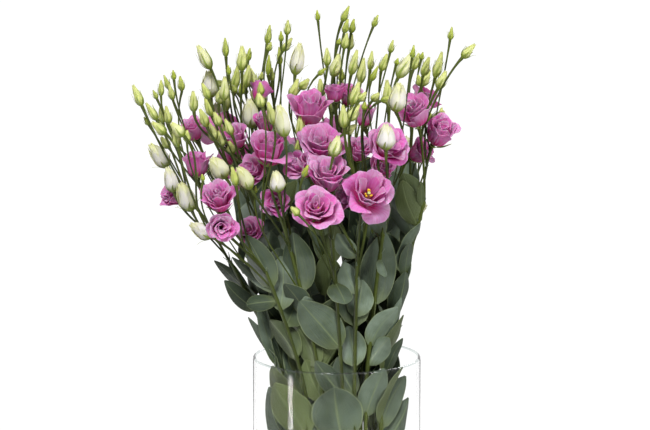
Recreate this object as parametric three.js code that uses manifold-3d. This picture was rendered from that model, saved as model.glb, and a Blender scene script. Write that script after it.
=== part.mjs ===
// A bunch of lisianthus standing in a clear glass cylinder vase with water in it.
// Millimetres, +Z up, seen from -Y. The origin is the middle of the vase's foot.
import * as THREE from 'three';
import { ParametricGeometry } from 'three/addons/geometries/ParametricGeometry.js';
import { mergeVertices } from 'three/addons/utils/BufferGeometryUtils.js';
import Module from 'manifold-3d';

const wasm = await Module();
wasm.setup();

// Vase and water
const vaseRadius = 100;
const vaseHeight = 250;
const glassWall = 4;
const glassFloor = 8;
const footChamfer = 2.5;
const vaseSides = 28;
const waterLevel = 120;

// Clearances between separate pieces, and the rooms that things keep as they are placed
const gap = 0.35;
const leafGap = 0.7;
const stalkRoom = 1.2;
const flowerRoom = 1.5;
const leafRoom = 0.8;
const leafBallRadius = 0.5;
const flowerSeat = 0.5;

// Stems and stalks: radius and number of sides
const stemFootRadius = 3;
const stemTopRadius = 2;
const stemSides = 4;
const stalkSides = 3;
const woodSpacing = 3;
const nearlyNothing = 0.01;
const flowerStalkRadius = 1.6;
const budStalkRadius = 1.2;

// Where a stalk may leave the wood: well below its flower or bud, at about the usual length, not too flat
const stalkLength = 95;
const shortestRise = 22;
const steepEnough = 0.35;
const flatPenalty = 4;
const stalkTries = 40;
const lowestFork = 285;
const bowSizes = [9, 17, 26];
const bowSides = 8;

// The bunch gathers in the vase and fans out above it, leaning over to its crown's line
const crownX = -35;
const crownY = 10;
const gatherShare = 0.34;
const gatherHeight = 200;
const crownHeight = 500;
const fanPower = 1.3;
const lowestStemTop = 320;
const belowCrown = 32;

// Flowers and buds: how far they may be moved in depth, and their size as shares of their width
const flowerStep = 6;
const flowerSteps = 17;
const flowerBall = 0.4;
const flowerDepth = 0.42;
const budStep = 7;
const budSteps = 15;
const budSpread = 28;
const budTurn = 2.4;

// Leaves
const leafThickness = 1.6;
const leafFold = 0.22;
const leafArch = 0.12;
const leafStep = 7;
const leafSteps = 9;
const leafRimRoom = 3;
const vaseEase = 12;
const rimSlope = 1.4;
const ruleLeaf = {
  length: 84, width: 46, shrink: 0.3, lowest: 150, highest: 390, lean: 0.45,
  fromOutward: 40, turnStep: 14, turnSteps: 13, outwardDepth: 30 };

// How the bunch is looked at: a picture of 650 columns and 430 rows, its middle aimed at a point
const picture = { column: 325, row: 215, pixel: 1.183, distance: 2500, tilt: 8 };
const aim = new THREE.Vector3(-14, 0, vaseHeight + 169.2);

// Each spray is one cut stem.
// crown: millimetres right of the vase's axis and behind it.
// flowers: column, row and depth of the middle, width in mm, turn to the right and tilt up in degrees,
// and openness.
// buds: column and row of the base, column and row of the tip, width in columns,
// and the depth of one that stands before a flower.
// leaves: row of the base on the stem, column and row of the tip, width in columns,
// how far the tip stands behind the base, and the face's turn to the right in degrees.
// back: how many more leaves stand round the side of the stem that the picture doesn't show.
const frontSprays = [
  { crown: [-205, -20], back: 2,
    flowers: [[174, 195, -30, 36, -60, 25, 0.5]],
    buds: [
      [142, 106, 133, 85, 9], [157, 120, 146, 103, 8], [166, 134, 152, 122, 10],
      [168, 167, 150, 144, 15], [174, 192, 167, 167, 13], [192, 211, 180, 183, 17]],
    leaves: [
      [290, 200, 261, 13, -10, -10], [310, 213, 284, 22, -30, -20], [298, 221, 259, 13, 10, 20],
      [362, 242, 320, 15, -10, -40], [366, 256, 305, 16, -20, 20]] },
  { crown: [-140, -100], back: 1,
    flowers: [[219, 199, -110, 45, -10, 50, 0.5], [221, 227, -125, 36, 10, 5, 0.6]],
    buds: [
      [212, 237, 190, 224, 14], [178, 147, 174, 128, 8], [184, 136, 171, 123, 11],
      [226, 178, 211, 158, 17], [236, 186, 232, 167, 8]],
    leaves: [
      [287, 243, 237, 28, -15, -10], [293, 226, 256, 11, 10, 25], [300, 236, 306, 16, -25, -30],
      [360, 268, 322, 24, -8, -30], [436, 271, 386, 38, -12, -20]] },
  { crown: [-175, 60], back: 3,
    flowers: [[193, 130, 60, 34, -40, 60, 0.4], [197, 166, 10, 34, -10, 80, 0.2]],
    buds: [[163, 123, 161, 105, 9], [169, 124, 166, 106, 8]],
    leaves: [] },
  { crown: [-140, -20], back: 2,
    flowers: [[236, 138, 20, 36, -30, 50, 0.5], [254, 170, -50, 40, -30, 20, 0.6], [250, 232, -30, 38, -10, 30, 0.5]],
    buds: [
      [194, 112, 193, 91, 9], [209, 99, 202, 83, 8], [212, 116, 205, 98, 9], [207, 127, 200, 109, 9],
      [215, 141, 209, 123, 10], [222, 148, 218, 131, 9], [232, 135, 225, 119, 8]],
    leaves: [[274, 270, 233, 28, -10, 10], [306, 258, 280, 20, -30, -20], [330, 262, 300, 22, -30, 10]] },
  { crown: [-100, 70], back: 3,
    flowers: [[260, 92, 80, 32, 150, 60, 0.5]],
    buds: [
      [219, 104, 223, 87, 11], [227, 111, 223, 86, 9], [226, 57, 225, 38, 7], [242, 71, 242, 46, 11],
      [234, 90, 238, 65, 9], [252, 128, 249, 99, 17]],
    leaves: [] },
  { crown: [-85, -95], back: 0,
    flowers: [[270, 150, -85, 45, 15, 60, 0.45], [277, 201, -50, 40, -15, 10, 0.6]],
    buds: [
      [251, 189, 238, 167, 14], [279, 192, 275, 171, 14, -120], [274, 125, 268, 102, 9],
      [285, 137, 279, 105, 14, -115]],
    leaves: [
      [292, 293, 233, 32, 0, -10], [316, 284, 284, 24, -20, -30], [330, 306, 298, 22, -14, 20],
      [365, 294, 323, 24, -10, -10], [400, 306, 360, 24, -14, 10]] },
  { crown: [-75, 110], back: 3,
    flowers: [[265, 123, 40, 32, -10, 70, 0.4]],
    buds: [[246, 88, 249, 65, 9], [267, 44, 270, 25, 7], [268, 75, 269, 55, 6], [280, 65, 279, 47, 6]],
    leaves: [] },
  { crown: [-30, -20], back: 2,
    flowers: [[310, 110, -30, 48, 0, 65, 0.4]],
    buds: [
      [295, 75, 300, 43, 13], [291, 98, 298, 79, 9], [300, 137, 300, 116, 9], [327, 66, 327, 48, 8]],
    leaves: [[296, 326, 256, 28, -15, 10], [264, 335, 224, 22, 0, 0]] },
  { crown: [-15, -110], back: 0,
    flowers: [
      [321, 145, -70, 58, 5, 50, 0.75], [316, 208, -150, 54, 0, 35, 0.9],
      [301, 167, -100, 40, -50, 30, 0.6]],
    buds: [[333, 157, 338, 136, 12, -125]],
    leaves: [
      [348, 300, 303, 37, -12, -15], [284, 346, 302, 24, -30, 20], [396, 316, 362, 22, -6, 0],
      [440, 334, 388, 50, -8, 0]] },
  { crown: [10, 85], back: 3,
    flowers: [[335, 94, 40, 26, 0, 80, 0.2], [350, 96, 80, 34, 40, 50, 0.5]],
    buds: [[342, 22, 349, 6, 7], [333, 77, 339, 54, 12], [322, 96, 320, 79, 9], [333, 112, 338, 92, 9]],
    leaves: [] },
  { crown: [25, -100], back: 0,
    flowers: [
      [327, 176, -115, 54, 5, 55, 0.6], [370, 191, -135, 62, 15, 35, 0.95],
      [347, 198, -75, 36, -60, 10, 0.5]],
    buds: [[344, 128, 343, 105, 9], [349, 121, 359, 104, 10], [352, 105, 359, 82, 10]],
    leaves: [
      [252, 337, 234, 18, -14, 10], [292, 344, 263, 22, -16, 20], [316, 362, 280, 26, -14, -10],
      [366, 348, 326, 27, -10, 0], [394, 338, 357, 25, -8, 10]] },
  { crown: [50, 20], back: 3,
    flowers: [[364, 117, 10, 28, 0, 80, 0.2], [360, 150, 10, 38, 20, 50, 0.5]],
    buds: [[351, 75, 357, 50, 9], [360, 84, 364, 58, 9], [370, 70, 372, 51, 7], [381, 71, 387, 54, 8]],
    leaves: [[268, 352, 226, 24, -10, 0]] },
  { crown: [65, -75], back: 0,
    flowers: [[388, 146, -95, 52, 25, 30, 0.8], [381, 168, -50, 36, 30, 30, 0.6]],
    buds: [
      [386, 150, 386, 124, 16, -135], [388, 105, 387, 80, 10], [396, 112, 399, 83, 16],
      [398, 78, 412, 53, 12]],
    leaves: [
      [305, 385, 233, 36, -8, 12], [258, 385, 277, 10, -30, 20], [346, 398, 308, 24, -14, 30],
      [364, 388, 339, 20, -16, -20], [416, 385, 371, 27, -8, 20]] },
  { crown: [120, -20], back: 1,
    flowers: [[415, 113, -50, 44, -20, 50, 0.4], [440, 133, -20, 44, 30, 45, 0.4]],
    buds: [[435, 78, 442, 52, 9], [438, 89, 446, 71, 10], [462, 58, 475, 44, 9], [423, 76, 429, 57, 9]],
    leaves: [
      [226, 402, 182, 24, -20, -10], [206, 424, 184, 9, 0, 20], [276, 410, 243, 17, -10, 30],
      [318, 408, 275, 22, -10, 30], [346, 403, 300, 13, -12, 30], [376, 403, 339, 14, -12, 30],
      [428, 406, 377, 24, -6, 10]] },
  { crown: [100, 60], back: 3,
    flowers: [[425, 98, 60, 40, 120, 55, 0.7], [421, 152, 20, 38, 60, 30, 0.6]],
    buds: [[413, 70, 419, 53, 8], [422, 86, 430, 70, 9]],
    leaves: [] },
];

// The far side has no flowers of its own in sight: these sprays are near ones turned
// half round the crown's line
const turnedSprays = [
  { from: 1, turn: 172, back: 3 },
  { from: 5, turn: 186, back: 3 },
  { from: 10, turn: 186, back: 3 },
  { from: 12, turn: 190, back: 3 },
];

const up = new THREE.Vector3(0, 0, 1);
const degrees = THREE.MathUtils.degToRad;
const vector = (x, y, z) => new THREE.Vector3(x, y, z);

// An even scatter of shares from 0 to 1
const scatter = (n) => (n * 0.6180339887) % 1;

const tilt = degrees(picture.tilt);
const forward = vector(0, Math.cos(tilt), -Math.sin(tilt));
const upward = vector(0, Math.sin(tilt), Math.cos(tilt));
const eye = aim.clone().addScaledVector(forward, -picture.distance);

// The point at a column and row of the picture that lies the given depth behind the vase's axis
function fromPicture(column, row, depth) {
  const ray = forward.clone().multiplyScalar(picture.distance)
    .add(vector((column - picture.column) * picture.pixel, 0, 0))
    .addScaledVector(upward, (picture.row - row) * picture.pixel);
  return eye.clone().addScaledVector(ray, (depth - eye.y) / ray.y);
}

// The row of the picture in which a point is seen
function rowOf(point) {
  const sight = point.clone().sub(eye);
  return picture.row - (sight.dot(upward) / sight.dot(forward)) * (picture.distance / picture.pixel);
}

// A point turned round the crown's upright line
function turned(point, turn) {
  const line = vector(crownX, crownY, 0);
  return point.clone().sub(line).applyAxisAngle(up, degrees(turn)).add(line);
}

// A manifold solid from points and faces, with its faces outwards
function solidFrom(points, faces) {
  const build = (triVerts) => new wasm.Manifold(new wasm.Mesh({
    numProp: 3, vertProperties: new Float32Array(points), triVerts: new Uint32Array(triVerts) }));
  const solid = build(faces);
  if (solid.volume() > 0) return solid;
  return build(faces.toReversed());
}

// The same from a geometry whose poles are rows of repeated points
function solidFromGeometry(geometry) {
  geometry.deleteAttribute('normal');
  geometry.deleteAttribute('uv');
  const merged = mergeVertices(geometry, 1e-4);
  const corners = Array.from(merged.index.array);
  const faces = [];
  for (let i = 0; i < corners.length; i += 3) {
    const [a, b, c] = corners.slice(i, i + 3);
    if (a !== b && b !== c && c !== a) faces.push(a, b, c);
  }
  return solidFrom(merged.attributes.position.array, faces);
}

// A closed surface given by point(column, row): columns run round it, and it closes at its first and last row
function closedSurface(point, columns, rows) {
  const place = (u, v, target) => target.copy(point(Math.round(u * columns) % columns, Math.round(v * rows)));
  return solidFromGeometry(new ParametricGeometry(place, columns, rows));
}

// A round bar through stations, each a place and a radius, with closed ends.
// grow makes it thicker and longer.
function bar(stations, sides, grow = 0) {
  const last = stations.length - 1;
  let normal = vector(1, 0.3, 0);
  const rings = stations.map(({ at, radius }, k) => {
    const before = stations[Math.max(k - 1, 0)].at;
    const along = stations[Math.min(k + 1, last)].at.clone().sub(before).normalize();
    const push = [-grow, ...Array(last - 1).fill(0), grow][k];
    normal = normal.clone().addScaledVector(along, -normal.dot(along)).normalize();
    return {
      at: at.clone().addScaledVector(along, push), normal, binormal: along.clone().cross(normal),
      radius: radius + grow };
  });
  const poles = [{ ...rings[0], radius: 0 }, ...rings, { ...rings[last], radius: 0 }];
  return closedSurface((column, row) => {
    const ring = poles[row];
    const angle = 2 * Math.PI * column / sides;
    return ring.at.clone()
      .addScaledVector(ring.normal, ring.radius * Math.cos(angle))
      .addScaledVector(ring.binormal, ring.radius * Math.sin(angle));
  }, sides, poles.length - 1);
}

// What already stands in the bunch, as balls: stems, stalks, buds, flowers and leaves
const taken = [];
const take = (owner, point, radius) => taken.push({ owner, point, radius });
const isFree = (owners, point, radius, room) => taken.every((ball) => (
  owners.includes(ball.owner) || ball.point.distanceTo(point) > ball.radius + radius + room));

// 0, -1, 1, -2, 2 ...
const steps = (count) => Array.from({ length: count }, (_, i) => (i % 2 ? -1 : 1) * Math.ceil(i / 2));

// A stem's middle line at a height: upright in the vase, then fanning out to its crown
function stemAt(spray, z) {
  const fan = Math.max(0, (z - gatherHeight) / (crownHeight - gatherHeight)) ** fanPower;
  const share = gatherShare + (1 - gatherShare) * fan;
  return vector(
    crownX * fan + share * (spray.crown.x - crownX),
    crownY * fan + share * (spray.crown.y - crownY), z);
}

// Where a stem and a stalk bend: heights, and shares of the curve
const stemShares = [0, 0.25, 0.5, 0.75, 1];
const stemHeights = (top) => [
  glassFloor + gap, ...stemShares.map((share) => THREE.MathUtils.lerp(gatherHeight, top, share))];
const stalkShares = [0, 0.35, 0.7, 1];

// Points along the straight stretches between bends
function pointsAlong(bends) {
  return bends.flatMap((bend, i) => {
    const next = bends[Math.min(i + 1, bends.length - 1)];
    const count = Math.max(1, Math.ceil(bend.distanceTo(next) / woodSpacing));
    return Array.from({ length: count }, (_, k) => bend.clone().lerp(next, k / count));
  });
}

// Points from which stalks and leaves may leave, each with the wood's direction there
function growWood(owner, points, radius) {
  points.forEach((point) => take(owner, point, radius));
  return points.map((point, i) => {
    const before = points[Math.max(i - 1, 0)];
    const along = points[Math.min(i + 1, points.length - 1)].clone().sub(before).normalize();
    return { point, along };
  });
}

// Flowers keep their column and row, and move in depth until they stand clear of what was there before
function placeFlower(spray, spec, number) {
  const [column, row, depth, width, turn, rise, open] = spec;
  const flat = Math.cos(degrees(rise));
  const facing = vector(
    Math.sin(degrees(turn)) * flat, -Math.cos(degrees(turn)) * flat, Math.sin(degrees(rise)))
    .applyAxisAngle(up, degrees(spray.turn));
  const radius = flowerBall * width;
  const places = steps(flowerSteps).map((n) => (
    turned(fromPicture(column, row, depth + flowerStep * n), spray.turn)));
  const middle = places.find((point) => isFree([], point, radius, flowerRoom)) ?? places[0];
  const owner = 'flower ' + number;
  take(owner, middle, radius);
  const base = middle.clone().addScaledVector(facing, -flowerDepth * width);
  return { owner, number, width, open, facing, base };
}

// So do buds, which are spread in depth round their spray's crown
function placeBud(spray, spec, count) {
  const [column, row, tipColumn, tipRow, width, ownDepth] = spec;
  const depth = ownDepth ?? spray.depth + budSpread * Math.sin(budTurn * count + spray.number);
  const radius = 0.5 * width * picture.pixel;
  const places = steps(budSteps).map((n) => {
    const base = turned(fromPicture(column, row, depth + budStep * n), spray.turn);
    const tip = turned(fromPicture(tipColumn, tipRow, depth + budStep * n), spray.turn);
    return { base, tip, radius, balls: [0.2, 0.5, 0.85].map((share) => base.clone().lerp(tip, share)) };
  });
  const bud = places.find(({ balls }) => balls.every((point) => isFree([], point, radius, stalkRoom)))
    ?? places[0];
  bud.balls.forEach((point) => take(spray.owner, point, radius));
  return bud;
}

// A stalk leaves the wood along it and arrives along its flower or bud, with a bow to one side if need be
function stalkBends(wood, target, into, bow) {
  const reach = wood.point.distanceTo(target);
  const curve = new THREE.CubicBezierCurve3(
    wood.point,
    wood.point.clone().addScaledVector(wood.along, 0.12 * reach).lerp(target, 0.2).add(bow),
    target.clone().addScaledVector(into, -0.3 * reach).add(bow),
    target);
  return stalkShares.map((share) => curve.getPoint(share));
}

// Straight first, then bowed by more and more to each side
const bows = [0, ...bowSizes.flatMap((size) => Array(bowSides).fill(size))]
  .map((size, i) => vector(size, 0, 0).applyAxisAngle(up, 2 * Math.PI * i / bowSides));

// The free stalk that is nearest to the usual length and not too flat
function growStalk(spray, target, into, radius, owners) {
  const choices = spray.wood
    .filter(({ point }) => point.z < target.z - shortestRise)
    .map((wood) => {
      const { point } = wood;
      const flat = Math.hypot(target.x - point.x, target.y - point.y) / (target.z - point.z);
      const tooFlat = 1 + flatPenalty * Math.max(0, flat - steepEnough);
      return { wood, cost: (Math.abs(point.distanceTo(target) - stalkLength) + shortestRise) * tooFlat };
    })
    .sort((a, b) => a.cost - b.cost)
    .slice(0, stalkTries);
  for (const bow of bows) {
    for (const { wood } of choices) {
      const bends = stalkBends(wood, target, into, bow);
      if (pointsAlong(bends).every((point) => isFree(owners, point, radius, stalkRoom))) return bends;
    }
  }
  return stalkBends(choices[0].wood, target, into, bows[0]);
}

// Leaf outline, as share of the length and share of the half width
const leafRings = [[0, 0], [0.18, 0.66], [0.44, 1], [0.74, 0.78], [1, 0]];

// Everything near the rim and below it stays inside the glass
function keepInVase(point) {
  const free = vaseRadius - glassWall - leafRimRoom - vaseEase;
  const reach = vaseEase + Math.max(0, point.z - vaseHeight - glassWall) * rimSlope;
  const radius = Math.hypot(point.x, point.y);
  if (radius <= free) return point;
  const held = free + reach * (1 - Math.exp(-(radius - free) / reach));
  return vector(point.x * held / radius, point.y * held / radius, point.z);
}

// The point of a leaf at a share of its length, across it and through it.
// The leaf is folded along its rib and arched back.
function leafPoint(leaf, share, across, through) {
  const bend = leafArch * leaf.length * share * (1 - share) * 2 + leafFold * Math.abs(across);
  return keepInVase(leaf.base.clone()
    .addScaledVector(leaf.along, share * leaf.length)
    .addScaledVector(leaf.side, across)
    .addScaledVector(leaf.face, through - bend));
}

// A blade with a diamond for its section, pointed at both ends. grow makes it wider, thicker and longer.
function leafBlade(leaf, grow = 0) {
  const corners = [[-1, 0], [0, -1], [1, 0], [0, 1]];
  const last = leafRings.length - 1;
  return closedSurface((column, row) => {
    const [share, wide] = leafRings[row];
    const [across, through] = corners[column];
    const end = [-grow, ...Array(last - 1).fill(0), grow][row] / leaf.length;
    const solid = wide > 0 ? 1 : 0;
    return leafPoint(leaf, share + end,
      solid * across * (wide * leaf.width / 2 + grow), solid * through * (leafThickness / 2 + grow));
  }, 4, last);
}

// Balls along a blade's rib and half way out to its edges
function leafBalls(leaf) {
  return [0.35, 0.5, 0.7, 0.9].flatMap((share) => [-0.33, 0, 0.33]
    .map((across) => leafPoint(leaf, share, across * leaf.width * (1.2 - share), 0)));
}

function leafFrom(base, tip, face, width) {
  const along = tip.clone().sub(base).normalize();
  const straight = face.clone().addScaledVector(along, -face.dot(along)).normalize();
  const side = along.clone().cross(straight);
  return { base, along, face: straight, side, length: base.distanceTo(tip), width };
}

// The one of some leaves that stands clearest of what is there, or none if even that one is crossed too often
function placeLeaf(leaves, mostCrossed) {
  const isCrossed = (point) => !isFree([], point, leafBallRadius, leafRoom);
  const crossed = leaves.map((leaf) => leafBalls(leaf).filter(isCrossed).length);
  const fewest = Math.min(...crossed);
  if (fewest > mostCrossed) return [];
  const leaf = leaves[crossed.indexOf(fewest)];
  leafBalls(leaf).forEach((point) => take(null, point, leafBallRadius));
  return [leaf];
}

// A leaf that the picture shows keeps its tip's column and row, and moves in depth
function shownLeaf(spray, spec) {
  const [row, tipColumn, tipRow, width, reach, turn] = spec;
  const nearest = spray.stemWood.reduce((best, wood) => (
    Math.abs(rowOf(wood.point) - row) < Math.abs(rowOf(best.point) - row) ? wood : best));
  const face = vector(Math.sin(degrees(turn)), -Math.cos(degrees(turn)), 0.15);
  const base = nearest.point.clone().addScaledVector(face, 0.5 * stemTopRadius);
  return placeLeaf(steps(leafSteps).map((n) => {
    const tip = fromPicture(tipColumn, tipRow, base.y + reach + leafStep * n);
    return leafFrom(base, tip, face, width * picture.pixel);
  }), Infinity);
}

// The others stand in turn to the left and right of the stem's outer side, larger below
function otherLeaf(spray, k) {
  const share = (k + 0.8 * scatter(spray.number * 3)) / spray.back;
  const height = THREE.MathUtils.lerp(ruleLeaf.lowest, ruleLeaf.highest, share);
  const base = spray.stemWood.find(({ point }) => point.z >= height)?.point ?? spray.stemWood.at(-1).point;
  const size = (1 - ruleLeaf.shrink * share) * (0.85 + 0.3 * scatter(spray.number * 7 + k));
  const depth = Math.abs(spray.crown.y - crownY) + ruleLeaf.outwardDepth;
  const outward = vector(spray.crown.x - crownX, depth, 0).normalize();
  const hand = k % 2 ? 1 : -1;
  return placeLeaf(steps(ruleLeaf.turnSteps).map((n) => {
    const turn = hand * ruleLeaf.fromOutward + ruleLeaf.turnStep * n;
    const out = outward.clone().applyAxisAngle(up, degrees(turn));
    const reach = up.clone().addScaledVector(out, ruleLeaf.lean).setLength(ruleLeaf.length * size);
    return leafFrom(base, base.clone().add(reach), out, ruleLeaf.width * size);
  }), 0);
}

// Flower: rings of five lobed petals, one ring inside another, as one closed surface.
// Each ring gives the radius and height of the petals' middles and of the notches between them,
// as shares of the flower's width.
function flowerRings(open) {
  const wide = 0.38 + 0.12 * open;
  const tall = 0.72 - 0.22 * open;
  return [
    { radius: [0, 0], height: [0, 0] },
    { radius: [0.2, 0.14], height: [0.12, 0.08] },
    { radius: [0.92 * wide, 0.66 * wide], height: [0.6 * tall, 0.5 * tall] },
    { radius: [1.05 * wide, 0.74 * wide], height: [tall, 0.7 * tall] },
    { radius: [0.6 * wide, 0.6 * wide], height: [0.6 * tall, 0.64 * tall] },
    { radius: [0.42 * wide, 0.68 * wide], height: [0.9 * tall, 1.12 * tall] },
    { radius: [0, 0], height: [0.8 * tall, 0.8 * tall] },
  ];
}

function flowerSolid(flower, grow = 0) {
  const rings = flowerRings(flower.open);
  const petals = 5;
  const width = flower.width + 4 * grow;
  const shape = closedSurface((column, row) => {
    const radius = width * rings[row].radius[column % 2];
    const angle = Math.PI * column / petals;
    return vector(radius * Math.cos(angle), radius * Math.sin(angle), width * rings[row].height[column % 2]);
  }, 2 * petals, rings.length - 1);
  const matrix = new THREE.Matrix4().compose(
    flower.base.clone().addScaledVector(flower.facing, flowerSeat - 2 * grow),
    new THREE.Quaternion().setFromUnitVectors(up, flower.facing), vector(1, 1, 1));
  return shape.transform(matrix.toArray());
}

function stemBar(spray, grow) {
  const last = spray.bends.length - 1;
  return bar(spray.bends.map((at, i) => (
    { at, radius: THREE.MathUtils.lerp(stemFootRadius, stemTopRadius, i / last) })), stemSides, grow);
}

// A flower's stalk widens into its calyx
function flowerStalk({ bends }, grow) {
  const last = bends.length - 1;
  const radius = (i) => (i === last ? 2 : 1) * flowerStalkRadius;
  return bar(bends.map((at, i) => ({ at, radius: radius(i) })), stalkSides, grow);
}

// A bud ends its stalk with a belly, a shoulder and a point
function budStalk({ bends, bud }, grow) {
  const swell = [[0.3, 1], [0.65, 0.76], [1, 0]].map(([share, wide]) => (
    { at: bud.base.clone().lerp(bud.tip, share), radius: wide * bud.radius }));
  return bar([...bends.map((at) => ({ at, radius: budStalkRadius })), ...swell], stalkSides, grow);
}

const join = (solids) => wasm.Manifold.union(solids);

// The largest body of a solid, so that no loose scrap is left
const largest = (solid) => solid.decompose().sort((a, b) => b.volume() - a.volume())[0];

const touches = (a, b) => ['0', '1', '2'].every((i) => a.min[i] < b.max[i] && b.min[i] < a.max[i]);
const cutBy = (solid, rooms) => rooms.reduce((left, room) => (
  touches(left.boundingBox(), room.boundingBox()) ? left.subtract(room) : left), solid);

// The bunch, laid out: stems, then flowers and buds, then their stalks, then leaves
const sprays = [
  ...frontSprays.map((spec) => ({ ...spec, turn: 0 })),
  ...turnedSprays.map((spec) => ({ ...frontSprays[spec.from], leaves: [], ...spec })),
].map((spec, number) => ({ ...spec, number, owner: 'spray ' + number }));

for (const spray of sprays) {
  const [x, y] = spray.crown;
  spray.depth = y;
  spray.crown = turned(vector(x, y, 0), spray.turn);
  const places = [...spray.flowers, ...spray.buds].map(([column, row]) => fromPicture(column, row, y).z);
  spray.top = Math.max(lowestStemTop, Math.min(...places) - belowCrown);
  spray.bends = stemHeights(spray.top).map((z) => stemAt(spray, z));
  spray.stemWood = growWood(spray.owner, pointsAlong(spray.bends), stemFootRadius);
  spray.wood = spray.stemWood.filter(({ point }) => point.z > lowestFork);
}

let flowerCount = 0;
for (const spray of sprays) {
  spray.flowers = spray.flowers.map((spec) => placeFlower(spray, spec, flowerCount++));
}
for (const spray of sprays) {
  spray.buds = spray.buds.map((spec, i) => placeBud(spray, spec, i));
}

for (const spray of sprays) {
  spray.flowerStalks = spray.flowers.map((flower) => {
    const owners = [spray.owner, flower.owner];
    const bends = growStalk(spray, flower.base, flower.facing, flowerStalkRadius, owners);
    spray.wood.push(...growWood(spray.owner, pointsAlong(bends), flowerStalkRadius));
    return { bends };
  });
}
for (const spray of sprays) {
  spray.budStalks = spray.buds.map((bud) => {
    const into = bud.tip.clone().sub(bud.base).normalize();
    const bends = growStalk(spray, bud.base, into, budStalkRadius, [spray.owner]);
    spray.wood.push(...growWood(spray.owner, pointsAlong(bends), budStalkRadius));
    return { bends, bud };
  });
}
// A stem ends where its highest stalk leaves it
for (const spray of sprays) {
  const forks = [...spray.flowerStalks, ...spray.budStalks].map(({ bends }) => bends[0]);
  const isFork = ({ point }) => forks.some((fork) => fork.distanceTo(point) < nearlyNothing);
  const highest = spray.stemWood.findLastIndex(isFork);
  const end = spray.stemWood[highest].point;
  spray.stemWood = spray.stemWood.slice(0, highest + 1);
  spray.bends = [...spray.bends.filter(({ z }) => z < end.z - woodSpacing), end];
}

for (const spray of sprays) {
  spray.leafList = [
    ...spray.leaves.flatMap((spec) => shownLeaf(spray, spec)),
    ...Array.from({ length: spray.back }, (_, k) => otherLeaf(spray, k)).flat()];
}

// Where solids would cross, wood comes first, then flowers, then leaves, each kept clear of those before
const rooms = [];
for (const spray of sprays) {
  const build = (grow) => join([
    stemBar(spray, grow),
    ...spray.flowerStalks.map((stalk) => flowerStalk(stalk, grow)),
    ...spray.budStalks.map((stalk) => budStalk(stalk, grow))]);
  spray.solid = largest(cutBy(build(0), rooms));
  spray.room = build(gap);
  rooms.push(spray.room);
}
for (const spray of sprays) {
  for (const flower of spray.flowers) {
    flower.solid = largest(cutBy(flowerSolid(flower), rooms));
    rooms.push(flowerSolid(flower, gap));
  }
}
for (const spray of sprays) {
  const others = rooms.filter((room) => room !== spray.room);
  const blades = spray.leafList.map((leaf) => cutBy(leafBlade(leaf), others));
  spray.solid = largest(join([spray.solid, ...blades]));
  rooms.push(...spray.leafList.map((leaf) => leafBlade(leaf, leafGap)));
}

const outline = (points) => points.map(([radius, z]) => new THREE.Vector2(radius, z));
const turnedSolid = (points) => solidFromGeometry(
  new THREE.LatheGeometry(outline(points), vaseSides).rotateX(Math.PI / 2));

const innerRadius = vaseRadius - glassWall;
const vase = turnedSolid([
  [0, 0], [vaseRadius - footChamfer, 0], [vaseRadius, footChamfer], [vaseRadius, vaseHeight],
  [innerRadius, vaseHeight], [innerRadius, glassFloor], [0, glassFloor]]);

// Stems stand in plain holes in the water
const water = cutBy(turnedSolid([
  [0, glassFloor + gap], [innerRadius - 2 * gap, glassFloor + gap],
  [innerRadius - 2 * gap, waterLevel], [0, waterLevel]]), sprays.map((spray) => spray.room));

const finishes = {
  glass: new THREE.MeshStandardMaterial({
    color: 0xf2f7f6, roughness: 0.05, metalness: 0, transparent: true, opacity: 0.3 }),
  water: new THREE.MeshStandardMaterial({
    color: 0xe6f0ee, roughness: 0.02, metalness: 0, transparent: true, opacity: 0.3 }),
  foliage: new THREE.MeshStandardMaterial({ color: 0x6b8062, roughness: 0.6, metalness: 0 }),
  petals: new THREE.MeshStandardMaterial({ color: 0xc75fa0, roughness: 0.7, metalness: 0 }),
};

const bunch = new THREE.Group();

function addNode(name, solid, finish) {
  const mesh = solid.getMesh();
  const points = Array.from({ length: mesh.numVert }, (_, i) => [...mesh.position(i)]).flat();
  const geometry = new THREE.BufferGeometry();
  geometry.setAttribute('position', new THREE.Float32BufferAttribute(points, 3));
  geometry.setIndex(new THREE.BufferAttribute(mesh.triVerts, 1));
  geometry.computeVertexNormals();
  const node = new THREE.Mesh(geometry, finish);
  node.name = name;
  bunch.add(node);
}

const label = (name, number) => name + '_' + String(number + 1).padStart(2, '0');

addNode('vase', vase, finishes.glass);
addNode('water', largest(water), finishes.water);
for (const spray of sprays) {
  addNode(label('spray', spray.number), spray.solid, finishes.foliage);
}
for (const flower of sprays.flatMap((spray) => spray.flowers)) {
  addNode(label('flower', flower.number), flower.solid, finishes.petals);
}

export default bunch;
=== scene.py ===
# A bunch of lisianthus in a clear glass cylinder vase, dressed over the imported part.
# The bunch is laid out in millimetres and made in metres, +Z up, seen from -Y.
import math

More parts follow.
